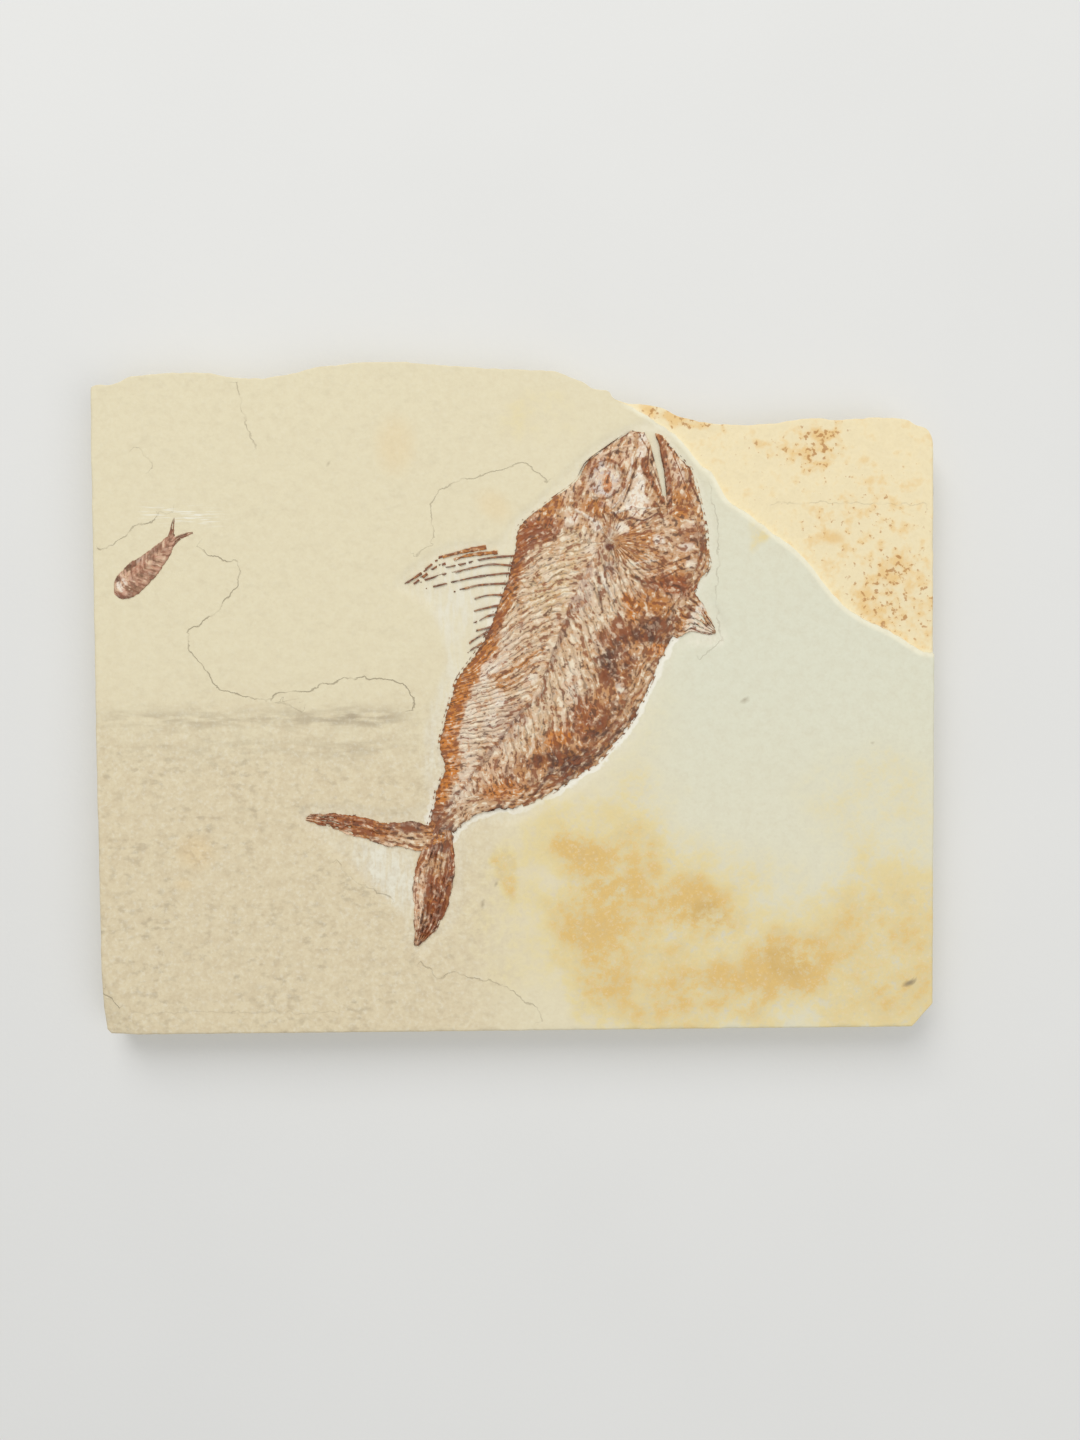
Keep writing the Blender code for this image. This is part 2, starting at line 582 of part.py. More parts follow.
def main():
    """Build the two fishes, then the stone that holds them."""
    clear_scene()
    pockets = new_collection("fish_pockets")
    dress(large_fish(pockets), *BROWN_BONE)
    dress(small_fish(pockets), *PINK_BROWN_BONE)
    dress(limestone_slab(pockets), *LIMESTONE)
    hide(pockets)


main()
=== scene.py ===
import logging
from collections.abc import Iterable
from dataclasses import dataclass, field
from enum import Enum
from functools import reduce

import bpy
import numpy as np
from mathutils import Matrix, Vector


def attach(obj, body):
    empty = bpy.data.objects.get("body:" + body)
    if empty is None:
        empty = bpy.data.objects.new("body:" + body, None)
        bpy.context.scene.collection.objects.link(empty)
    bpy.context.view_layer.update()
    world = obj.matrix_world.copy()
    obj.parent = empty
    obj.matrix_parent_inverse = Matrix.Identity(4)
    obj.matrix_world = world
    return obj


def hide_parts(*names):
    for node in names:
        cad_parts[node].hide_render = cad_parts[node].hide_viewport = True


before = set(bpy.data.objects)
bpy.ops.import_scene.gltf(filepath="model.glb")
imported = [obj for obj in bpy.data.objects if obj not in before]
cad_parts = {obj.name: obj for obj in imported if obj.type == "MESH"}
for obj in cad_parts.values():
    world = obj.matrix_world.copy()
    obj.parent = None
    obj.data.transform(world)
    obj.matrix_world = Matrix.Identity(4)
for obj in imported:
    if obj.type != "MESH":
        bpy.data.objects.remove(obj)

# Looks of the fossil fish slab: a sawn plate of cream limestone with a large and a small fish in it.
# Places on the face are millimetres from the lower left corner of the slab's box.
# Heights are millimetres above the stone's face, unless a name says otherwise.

log = logging.getLogger("fossil_fish_slab")

MM = 0.001

# Sizes of the stone plate and the fishes, in millimetres
WIDTH = 180.0
HEIGHT = 143.0
THICKNESS = 9.5
BED_DEPTH = 0.3  # depth of the bed that was scraped out round the large fish
HIDDEN = -0.62  # height at which a fish's surface lies unseen in the stone
RIB_PITCH = 1.45  # from rib to rib
BACK_LENGTH = 108.0  # along the large fish's back
TOOTH_PITCH = 1.45  # from tooth to tooth along it
BELLY_LENGTH = 115.0  # along its belly

LATTICE = 256  # cells along each side of the noise's table

Array = np.ndarray
Path = tuple[tuple[float, float], ...]
Screen = tuple[int, int, int]
Socket = bpy.types.NodeSocket


class Tint(Enum):
    """The colours of bone and stone, as red, green and blue on a screen, 0 to 255."""

    CHALK = (240, 230, 212)
    EYE_BONE = (214, 200, 188)
    PINK_BONE = (222, 186, 152)
    PALE_BONE = (212, 180, 142)
    YELLOW_TAN = (212, 180, 132)
    TAN = (192, 150, 108)
    LILAC = (188, 160, 142)
    GREY_BROWN = (132, 98, 82)
    ORANGE = (204, 120, 32)
    ORANGE_BROWN = (188, 120, 52)
    RED_BROWN = (154, 84, 42)
    DARK_BROWN = (112, 66, 46)
    UMBER = (88, 48, 34)
    DARK_RED = (104, 34, 30)
    ROSE_BROWN = (188, 142, 116)
    DUSK = (134, 100, 74)

    @property
    def light(self) -> Array:
        """The colour as linear light, 0 to 1."""
        return to_light(self.value)


@dataclass(frozen=True)
class Stroke:
    """A narrow bone, line or groove: its path, width, colour, strength, height and its end's width."""

    path: Path
    width: float
    tint: Tint
    strength: float
    height: float
    taper: float = 0.55


@dataclass(frozen=True)
class Patch:
    """An elliptical patch of colour: its middle, radii, turn in degrees, colour and strength."""

    centre: tuple[float, float]
    radii: tuple[float, float]
    turn: float
    tint: Tint
    strength: float


@dataclass(frozen=True)
class Stain:
    """An elliptical stain in the stone: its middle, radii, turn in degrees and strength."""

    centre: tuple[float, float]
    radii: tuple[float, float]
    turn: float
    strength: float


@dataclass(frozen=True)
class PathReading:
    """How points lie against a path: distance, offset (negative on its right) and share along it."""

    distance: Array
    offset: Array
    share: Array


def to_light(screen: Screen) -> Array:
    """A screen colour as linear light, by the usual power curve: three values, 0 to 1."""
    share = np.asarray(screen, float) / 255.0
    return np.where(share <= 0.04045, share / 12.92, ((share + 0.055) / 1.055) ** 2.4)


def ease(low: float, high: float, value: Array) -> Array:
    """A smooth step, t * t * (3 - 2t), where t runs from 0 at low to 1 at high, which may be the lower."""
    t = np.clip((value - low) / (high - low), 0.0, 1.0)
    return t * t * (3.0 - 2.0 * t)


def bell(value: Array, middle: float, width: float) -> Array:
    """A bell curve, exp(-((value - middle) / width)^2)."""
    return np.exp(-(((value - middle) / width) ** 2))


def lattice_noise(x: Array, y: Array, cell: float, seed: int) -> Array:
    """Values drawn at a lattice's corners, and blended smoothly between them.

    Args:
        x: places across.
        y: places up.
        cell: the lattice's spacing.
        seed: number of the draw.

    Returns:
        Values from 0 to 1.
    """
    table = np.random.default_rng(seed).random((LATTICE, LATTICE))
    across, up = np.asarray(x, float) / cell, np.asarray(y, float) / cell
    column, row = np.floor(across).astype(int), np.floor(up).astype(int)
    s, t = across - column, up - row
    s, t = s * s * (3 - 2 * s), t * t * (3 - 2 * t)
    left, right = column % LATTICE, (column + 1) % LATTICE
    low, high = row % LATTICE, (row + 1) % LATTICE
    below = table[low, left] * (1 - s) + table[low, right] * s
    above = table[high, left] * (1 - s) + table[high, right] * s
    return below * (1 - t) + above * t


def curve_through(points: Path | Array, at: Array) -> Array:
    """A Catmull-Rom curve through points of any dimension.

    Each leg is 0.5 * (2p1 + (p2 - p0)t + (2p0 - 5p1 + 4p2 - p3)t^2 + (3p1 - p0 - 3p2 + p3)t^3).

    Args:
        points: the points it goes through.
        at: where to read it, 0 at the first point and one more at each next point.

    Returns:
        One point for each value of at.
    """
    knots = np.asarray(points, float)
    ends = np.concatenate([[2 * knots[0] - knots[1]], knots, [2 * knots[-1] - knots[-2]]])
    leg = np.clip(np.floor(at).astype(int), 0, len(knots) - 2)
    t = (at - leg).reshape((-1,) + (1,) * (knots.ndim - 1))
    before, start, end, after = ends[leg], ends[leg + 1], ends[leg + 2], ends[leg + 3]
    return 0.5 * (
        2 * start
        + (end - before) * t
        + (2 * before - 5 * start + 4 * end - after) * t**2
        + (3 * start - before - 3 * end + after) * t**3
    )


def even_stations(points: Array, shares: Array) -> Array:
    """Readings of curve_through at shares of the curve's length.

    Args:
        points: the points it goes through, each of one or several places.
        shares: shares of the length, 0 to 1.

    Returns:
        Values for the argument at of curve_through.
    """
    fine = np.linspace(0.0, len(points) - 1.0, 40 * len(points))
    steps = np.diff(curve_through(points, fine), axis=0)
    lengths = np.linalg.norm(steps, axis=-1).reshape(len(steps), -1).mean(axis=1)
    passed = np.concatenate([[0.0], np.cumsum(lengths)])
    return np.interp(shares * passed[-1], passed, fine)


def smooth_path(points: Path | tuple[Path, ...], count: int) -> Array:
    """A number of evenly spaced points on the curve through the given ones."""
    return curve_through(points, even_stations(np.asarray(points, float), np.linspace(0.0, 1.0, count)))


@dataclass
class Points:
    """Places on the face, in millimetres across and up."""

    x: Array
    y: Array

    def grain(self, cell: float, seed: int, octaves: int = 3) -> Array:
        """Layers of lattice noise, each at half the cell and 0.6 of the weight of the last.

        Args:
            cell: spacing of the coarsest layer.
            seed: number of the draw.
            octaves: how many layers.

        Returns:
            Values round 0, mostly from -1 to 1.
        """
        total = 0.0
        weights = [0.6**octave for octave in range(octaves)]
        for octave, weight in enumerate(weights):
            layer = lattice_noise(self.x + 17.3 * octave, self.y - 9.1 * octave, cell / 2**octave,
                                  seed * 13 + octave)
            total = total + weight * layer
        return (total - 0.5 * sum(weights)) / (0.45 * np.sqrt(sum(weight**2 for weight in weights)))

    def against(self, path: Path | Array) -> PathReading:
        """The nearest point of a path to each place: t = (place - start) . leg / leg^2, held to 0..1.

        Args:
            path: the path's corners.

        Returns:
            The distance, the offset and the share along the path.
        """
        corners = np.asarray(path, float)
        legs = np.diff(corners, axis=0)
        lengths = np.linalg.norm(legs, axis=1)
        passed = np.concatenate([[0.0], np.cumsum(lengths)])
        best = np.full(np.shape(self.x), np.inf)
        offset, along = np.zeros(best.shape), np.zeros(best.shape)
        for start, leg, length, before in zip(corners, legs, lengths, passed):
            across, up = self.x - start[0], self.y - start[1]
            t = np.clip((across * leg[0] + up * leg[1]) / length**2, 0.0, 1.0)
            away = np.hypot(across - t * leg[0], up - t * leg[1])
            closer = away < best
            best = np.where(closer, away, best)
            offset = np.where(closer, np.sign(leg[0] * up - leg[1] * across) * away, offset)
            along = np.where(closer, before + t * length, along)
        return PathReading(best, offset, along / passed[-1])

    def inside(self, outline: Array) -> Array:
        """Whether places lie inside a closed outline, by the crossings of a ray to the right.

        Args:
            outline: the outline's corners.

        Returns:
            True inside.
        """
        crossings = np.zeros(self.x.shape, int)
        for (ax, ay), (bx, by) in zip(outline, np.roll(outline, -1, axis=0)):
            spans = (ay > self.y) != (by > self.y)
            if by != ay:
                crossings += spans & (self.x < ax + (self.y - ay) * (bx - ax) / (by - ay))
        return crossings % 2 == 1

    def gap_to(self, outline: Array) -> Array:
        """Distance to a closed outline, negative inside it."""
        distance = self.against(np.vstack([outline, outline[:1]])).distance
        return np.where(self.inside(outline), -distance, distance)

    def reach(self, area: Patch | Stain) -> Array:
        """How far out places lie in a turned ellipse: 0 at its middle and 1 on its rim.

        Args:
            area: the patch or stain.

        Returns:
            sqrt((a / first radius)^2 + (b / second radius)^2), with a and b along the turned axes.
        """
        turn = np.radians(area.turn)
        across, up = self.x - area.centre[0], self.y - area.centre[1]
        a = across * np.cos(turn) + up * np.sin(turn)
        b = up * np.cos(turn) - across * np.sin(turn)
        return np.hypot(a / area.radii[0], b / area.radii[1])

    def stained(self, stains: Iterable[Stain]) -> Array:
        """How strong stains are at each place: each falls off smoothly from its middle to its rim."""
        return sum(stain.strength * ease(1.35, 0.35, self.reach(stain)) for stain in stains)


class Shell:
    """A closed mesh: a grid for its top, walls down from the grid's border and a flat underside."""

    def __init__(self, tops: Array) -> None:
        """Take the top's grid of points.

        Args:
            tops: rows by columns by x, y and z in millimetres, z from the slab's back.
        """
        self.tops = tops
        rows, columns = tops.shape[:2]
        index = np.arange(rows * columns).reshape(rows, columns)
        border = np.concatenate([index[0], index[1:, -1], index[-1, -2::-1], index[-2:0:-1, 0]])
        places = tops.reshape(-1, 3)[border]
        ahead = np.roll(places, -1, axis=0)
        area = np.sum(places[:, 0] * ahead[:, 1] - ahead[:, 0] * places[:, 1])
        self.flipped = bool(area < 0)
        self.border = border
        self.index = index

    def grid_faces(self) -> Array:
        """The top's faces, turned upwards.

        Returns:
            Four neighbouring points for each face.
        """
        index = self.index
        faces = np.stack([index[:-1, :-1], index[:-1, 1:], index[1:, 1:], index[1:, :-1]], axis=2)
        faces = faces.reshape(-1, 4)
        return faces[:, ::-1] if self.flipped else faces

    def ladder_faces(self, first: int) -> list[list[int]]:
        """The underside's faces: rungs between the two long sides, with the end rows in the last two.

        Args:
            first: number of the underside's first point, which lies under the border's first.

        Returns:
            Lists of point numbers, turned downwards.
        """
        rows, columns = self.index.shape
        loop = len(self.border)
        under = first + np.arange(loop)
        end_row = under[:columns]
        right = under[columns - 1:columns - 1 + rows]
        far_row = under[columns - 1 + rows - 1:2 * columns + rows - 2]
        left = np.concatenate([under[:1], under[:loop - rows + 1:-1], far_row[-1:]])
        rungs = [[left[i], left[i + 1], right[i + 1], right[i]] for i in range(1, rows - 2)]
        rungs.append([left[0], left[1], right[1], *end_row[::-1][:-1]])
        rungs.append([left[rows - 2], *far_row[::-1], right[rows - 2]])
        faces = [[int(point) for point in rung] for rung in rungs]
        return [face[::-1] for face in faces] if self.flipped else faces

    def build(self, name: str, rings: list[Array], fields: dict[str, Array],
              fade: tuple[float, ...] = (1.0,)) -> bpy.types.Object:
        """Make the object.

        Args:
            name: the object's name.
            rings: the border's points at each lower level, from the top down.
            fields: values on the top's grid, one for each point, or three for a colour.
            fade: what is left of the fields at each lower level.

        Returns:
            The object, with its point at the origin and its fields as attributes.
        """
        rows, columns = self.index.shape
        loop = len(self.border)
        points = np.vstack([self.tops.reshape(-1, 3), *rings])
        levels = [self.border] + [rows * columns + k * loop + np.arange(loop) for k in range(len(rings))]
        faces = self.grid_faces().tolist()
        for upper, lower in zip(levels, levels[1:]):
            wall = np.stack([upper, lower, np.roll(lower, -1), np.roll(upper, -1)], axis=1)
            faces += (wall[:, ::-1] if self.flipped else wall).tolist()
        faces += self.ladder_faces(int(levels[-1][0]))
        placed = (points - (WIDTH / 2, HEIGHT / 2, 0.0)) * MM
        mesh = bpy.data.meshes.new(name)
        mesh.from_pydata(placed.tolist(), [], faces)
        for label, values in fields.items():
            flat = values.reshape(rows * columns, -1)
            full = np.vstack([flat] + [flat[self.border] * left for left in fade])
            put_field(mesh, label, full)
        mesh.shade_smooth()
        mesh.set_sharp_from_angle(angle=np.radians(50))
        obj = bpy.data.objects.new(name, mesh)
        bpy.context.scene.collection.objects.link(obj)
        log.info("%s: %d points, %d faces", name, len(points), len(faces))
        return obj


def put_field(mesh: bpy.types.Mesh, label: str, values: Array) -> None:
    """Store values as a mesh's point attribute.

    Args:
        mesh: the mesh.
        label: the attribute's name.
        values: points by one value, or points by three for a colour.
    """
    if values.shape[1] == 3:
        attribute = mesh.attributes.new(label, "FLOAT_COLOR", "POINT")
        colours = np.column_stack([values, np.ones(len(values))])
        attribute.data.foreach_set("color", colours.astype(np.float32).ravel())
    else:
        attribute = mesh.attributes.new(label, "FLOAT", "POINT")
        attribute.data.foreach_set("value", values.astype(np.float32).ravel())


class Recipe:
    """A material's node tree, with short calls that add its nodes and link them."""

    def __init__(self, name: str, colour: object) -> None:
        """Start the material with a Principled shader.

        Args:
            name: the material's name.
            colour: its ground colour on a screen, over which the other tones are laid.
        """
        self.colour = colour
        self.material = bpy.data.materials.new(name)
        self.material.use_nodes = True
        self.tree = self.material.node_tree
        self.shader = self.tree.nodes["Principled BSDF"]
        self.place = self.add("TexCoord", {}).outputs["Object"]

    def add(self, kind: str, inputs: dict[int | str, object], **settings: str) -> bpy.types.Node:
        """Add a node.

        Args:
            kind: its type, without the word ShaderNode.
            inputs: an output or a value for each of its inputs, by name or number.
            settings: the node's own settings, such as its operation.

        Returns:
            The node.
        """
        node = self.tree.nodes.new("ShaderNode" + kind)
        for label, value in settings.items():
            setattr(node, label, value)
        self.put(node, inputs)
        return node

    def put(self, node: bpy.types.Node, inputs: dict[int | str, object]) -> None:
        """Link a node's inputs to other nodes' outputs, or set their values.

        Args:
            node: the node.
            inputs: an output or a value for each input, by name or number.
        """
        for label, value in inputs.items():
            if isinstance(value, Socket):
                self.tree.links.new(value, node.inputs[label])
            else:
                node.inputs[label].default_value = value

    def field(self, label: str, output: str = "Fac") -> Socket:
        """The values of a point attribute: Fac for single values, Color for colours."""
        return self.add("Attribute", {}, attribute_name=label).outputs[output]

    def pattern(self, place: Socket, detail: float) -> Socket:
        """Fractal noise of size 1 at a place, with so many finer layers: 0 to 1, mostly near 0.5."""
        return self.add("TexNoise", {"Vector": place, "Scale": 1.0, "Detail": detail}).outputs["Fac"]

    def noise(self, size: float, detail: float = 3.0, stretch: tuple[float, float, float] = (1, 1, 1),
              turn: float = 0.0) -> Socket:
        """Fractal noise on the piece.

        Args:
            size: rough size of its blots, in millimetres.
            detail: how many finer layers it has.
            stretch: how many times longer the blots are along each axis.
            turn: turn of the pattern about Z, in degrees.

        Returns:
            Values from 0 to 1, mostly near 0.5.
        """
        scale = tuple(1.0 / (size * MM * part) for part in stretch)
        turned = (0.0, 0.0, np.radians(turn))
        mapping = self.add("Mapping", {"Vector": self.place, "Rotation": turned, "Scale": scale})
        return self.pattern(mapping.outputs["Vector"], detail)

    def fibre(self, width: float, length: float, detail: float) -> Socket:
        """Fractal noise along the bone's fibres, in streaks of rough width and length in millimetres."""
        place = self.add("CombineXYZ", {"X": self.math("DIVIDE", self.field("across"), width),
                                        "Y": self.math("DIVIDE", self.field("along"), length)})
        return self.pattern(place.outputs["Vector"], detail)

    def math(self, operation: str, first: object, second: object) -> Socket:
        """Two numbers or outputs joined by one of the Math node's operations, such as ADD."""
        return self.add("Math", {0: first, 1: second}, operation=operation).outputs[0]

    def times(self, *values: object) -> Socket:
        """The product of numbers and outputs."""
        return reduce(lambda first, second: self.math("MULTIPLY", first, second), values)

    def plus(self, *values: object) -> Socket:
        """The sum of numbers and outputs."""
        return reduce(lambda first, second: self.math("ADD", first, second), values)

    def step(self, value: object, low: float, high: float, to_low: float = 0.0,
             to_high: float = 1.0) -> Socket:
        """A smooth step of an output: to_low where it is low, and to_high where it is high."""
        ends = {"Value": value, "From Min": low, "From Max": high, "To Min": to_low, "To Max": to_high}
        return self.add("MapRange", ends, interpolation_type="SMOOTHSTEP").outputs["Result"]

    def over(self, colour: object, tone: object, *shares: object) -> Socket:
        """A tone laid over a colour: colour + (tone - colour) * the product of the shares, 0 to 1."""
        inputs = {0: self.times(*shares), 6: opaque(colour), 7: opaque(tone)}
        return self.add("Mix", inputs, data_type="RGBA").outputs[2]

    def lay(self, tone: object, *shares: object) -> None:
        """Lay a tone over the material's colour, by the product of the shares."""
        self.colour = self.over(self.colour, tone, *shares)

    def bump(self, height: object, depth: float) -> Socket:
        """A normal bumped by a height of 0 to 1, where 1 stands for depth millimetres."""
        inputs = {"Strength": 1.0, "Distance": depth * MM, "Height": height}
        return self.add("Bump", inputs).outputs["Normal"]

    def finish(self, roughness: object, normal: Socket, specular: float) -> None:
        """Give the shader its colour, roughness, normal and specular level."""
        self.put(self.shader, {"Base Color": opaque(self.colour), "Roughness": roughness,
                               "Normal": normal, "Specular IOR Level": specular})


def opaque(colour: object) -> object:
    """A screen colour as an opaque linear one; an output as it is."""
    return (*to_light(colour), 1.0) if isinstance(colour, tuple) else colour


@dataclass(frozen=True)
class LimestoneFinish:
    """Fine matt cream limestone with stains, cracks, scuffs and a painted highlight along the ledge."""

    cream: Screen = (227, 216, 183)
    pinkish: Screen = (222, 207, 173)
    green_grey: Screen = (221, 219, 196)
    dun: Screen = (190, 168, 134)
    yellow: Screen = (227, 210, 158)
    ochre: Screen = (223, 188, 118)
    brown_ochre: Screen = (198, 164, 98)
    smoke: Screen = (172, 158, 132)
    speck: Screen = (150, 134, 108)
    chalk: Screen = (238, 234, 218)
    crack: Screen = (150, 136, 110)
    lower_bed: Screen = (239, 223, 182)
    rust: Screen = (232, 194, 130)
    dark_rust: Screen = (178, 122, 66)
    # Painted highlight: the pale band along the upper bed's ledge, where light catches the step
    rim: Screen = (241, 235, 208)
    halo: Screen = (230, 224, 203)
    bright: Screen = (243, 239, 224)
    roughness: float = 0.86
    specular: float = 0.25

    def material(self) -> bpy.types.Material:
        """The stone's material.

        Returns:
            A material that reads the slab's fields and its place in space.
        """
        mix = Recipe("limestone", self.cream)
        cloud, mottle, fine = mix.noise(9.0, 5.0), mix.noise(2.4, 5.0), mix.noise(0.7, 4.0)
        coarse = mix.field("coarse")
        # Darker and slightly pinker towards the lower left of the face
        mix.lay(self.pinkish, mix.field("lower_left"))
        mix.lay(self.green_grey, mix.field("green"))

        # Iron stains from pale yellow through ochre to brown, grainy at their rims
        grains = mix.plus(mix.step(mottle, 0.3, 0.7, -0.4, 0.4), mix.step(fine, 0.3, 0.7, -0.3, 0.3),
                          mix.step(cloud, 0.3, 0.7, 0.6, 1.4))
        amount = mix.times(mix.field("ochre"), grains)
        brown = mix.times(mix.field("brown_ochre"), grains)
        mix.lay(self.yellow, mix.step(amount, 0.02, 0.34))
        mix.lay(self.ochre, mix.step(amount, 0.25, 1.0))
        mix.lay(self.brown_ochre, mix.step(brown, 0.1, 1.2, 0.0, 0.8))

        # Smoky grey bands and grey speckle
        streak = mix.noise(1.5, 5.0, (4.0, 0.9, 1.0), turn=1)
        mix.lay(self.smoke, mix.field("smoke"), mix.step(streak, 0.34, 0.64), 0.62)
        speckle = mix.step(mix.noise(1.5, 6.0, (1.3, 0.9, 1.0)), 0.48, 0.72)
        patchy = mix.step(cloud, 0.35, 0.65, 0.25, 1.0)
        mix.lay(self.smoke, mix.field("speckle"), speckle, patchy, 0.55)

        # The lower bed's warm cream with clusters of rust, and a painted highlight along the ledge above it
        mix.lay(self.lower_bed, mix.field("lower_bed"))
        rust = mix.plus(mix.field("rust"), mix.step(mottle, 0.25, 0.75, -0.5, 0.5))
        mix.lay(self.rust, mix.step(rust, 0.1, 1.0, 0.0, 0.85))
        crumbs = mix.step(mix.noise(1.2, 4.0), 0.35, 0.7, -0.8, 0.8)
        dark = mix.plus(mix.field("rust"), crumbs, mix.step(fine, 0.3, 0.7, -0.3, 0.3))
        mix.lay(self.dark_rust, mix.step(dark, 0.85, 1.35, 0.0, 0.75))
        mix.lay(self.rust, mix.field("orange_mark"))
        # Painted highlight along the ledge, laid as a pale band
        mix.lay(self.rim, mix.field("rim"), 0.85)

        # The chalky halo where the stone was scraped away round the fish
        blade = mix.step(mix.noise(1.1, 3.0, (0.7, 3.0, 1.0), turn=35), 0.36, 0.62, 0.35, 1.0)
        mix.lay(self.halo, mix.field("halo"), blade)
        gap = mix.plus(mix.field("fish_gap"), mix.step(mottle, 0.3, 0.7, -0.45, 0.45))
        mix.lay(self.bright, mix.step(gap, 0.7, 1.2, 1.0, 0.0), mix.field("bright"), 0.85)

        # Coarse grain, pits, hairline cracks that waver about their paths, and scuffs
        mix.lay(self.dun, mix.step(mottle, 0.6, 0.34), coarse, 0.36)
        mix.lay(self.dun, mix.step(fine, 0.52, 0.3), coarse, 0.36)
        mix.lay(self.chalk, mix.step(fine, 0.52, 0.7), coarse, 0.4)
        mix.lay(self.speck, mix.field("pit"))
        waver = mix.step(mix.noise(2.2, 4.0), 0.25, 0.75, -0.45, 0.45)
        away = mix.math("ABSOLUTE", mix.plus(mix.field("crack_offset"), waver), 0.0)
        broken = mix.step(mix.noise(4.0, 4.0), 0.36, 0.56, 0.25, 1.0)
        crack = mix.times(mix.step(away, 0.03, 0.2, 1.0, 0.0), mix.field("crack"), broken)
        mix.lay(self.crack, crack, 0.75)
        scratch = mix.step(mix.noise(0.45, 2.0, (12.0, 0.6, 1.0), turn=8), 0.55, 0.64)
        mix.lay(self.chalk, mix.field("scuff"), scratch)

        depth = mix.plus(mix.times(fine, 0.45), mix.times(mottle, 0.6), mix.times(crack, -0.8))
        rough = mix.step(mottle, 0.2, 0.8, self.roughness - 0.06, self.roughness + 0.08)
        mix.finish(rough, mix.bump(depth, 0.13), self.specular)
        return mix.material


@dataclass(frozen=True)
class BoneFinish:
    """Mineralised bone: its piece's tints, broken up by dark and pale fibres and crumbs."""

    name: str
    roughness: float
    specular: float
    umber: Screen = (82, 54, 38)
    rust: Screen = (136, 76, 42)
    chalk: Screen = (240, 226, 198)
    blush: Screen = (220, 190, 160)
    ember: Screen = (190, 126, 66)
    ash: Screen = (194, 170, 144)

    def material(self) -> bpy.types.Material:
        """The bone's material.

        Returns:
            A material that reads the piece's tint, its fibres and its place in space.
        """
        mix = Recipe(self.name, self.chalk)
        fibre, strand, crumb = mix.fibre(0.62, 2.2, 3.0), mix.fibre(1.7, 5.0, 3.0), mix.noise(0.95, 4.0)
        blend = mix.plus(mix.times(fibre, 1.35), mix.times(crumb, 1.15), mix.times(strand, 0.6), -1.05)
        mix.colour = mix.field("tint", "Color")
        bright = mix.add("RGBToBW", {0: mix.colour}).outputs[0]

        dark = mix.math("SUBTRACT", blend, mix.step(bright, 0.0, 0.75, 0.48, 0.3))
        dark = mix.step(dark, -0.07, 0.07, 1.0, 0.0)
        pale = mix.math("SUBTRACT", blend, mix.step(bright, 0.02, 0.6, 0.76, 0.58))
        pale = mix.step(pale, -0.06, 0.08)
        wave = mix.math("SINE", mix.times(mix.field("across"), 2 * np.pi / RIB_PITCH), 0.0)
        rib = mix.times(mix.field("rib"), mix.step(crumb, 0.42, 0.55, 0.1, 1.0))
        line = mix.times(rib, mix.step(wave, 0.55, 0.97))
        crest = mix.times(rib, mix.step(wave, -0.2, -0.9))
        hue = mix.noise(1.5, 4.0)
        dark_tone = mix.over(self.rust, self.umber, mix.step(strand, 0.4, 0.6))
        pale_tone = mix.over(self.chalk, self.blush, mix.step(mix.noise(1.4, 2.0), 0.4, 0.6))
        pale_tone = mix.over(pale_tone, self.ember, mix.step(bright, 0.3, 0.08), 0.35)

        mix.lay(self.ember, mix.step(hue, 0.54, 0.6, 0.0, 0.5))
        mix.lay(self.ash, mix.step(hue, 0.44, 0.38, 0.0, 0.35))
        mix.lay(self.chalk, crest, 0.45)
        mix.lay(pale_tone, pale, 0.8)
        mix.lay(self.umber, line, 0.52)
        mix.lay(dark_tone, dark, 0.8)
        normal = mix.bump(mix.plus(blend, mix.times(line, -0.5)), 0.1)
        rough = mix.step(crumb, 0.3, 0.7, self.roughness - 0.1, self.roughness + 0.12)
        mix.finish(rough, normal, self.specular)
        return mix.material


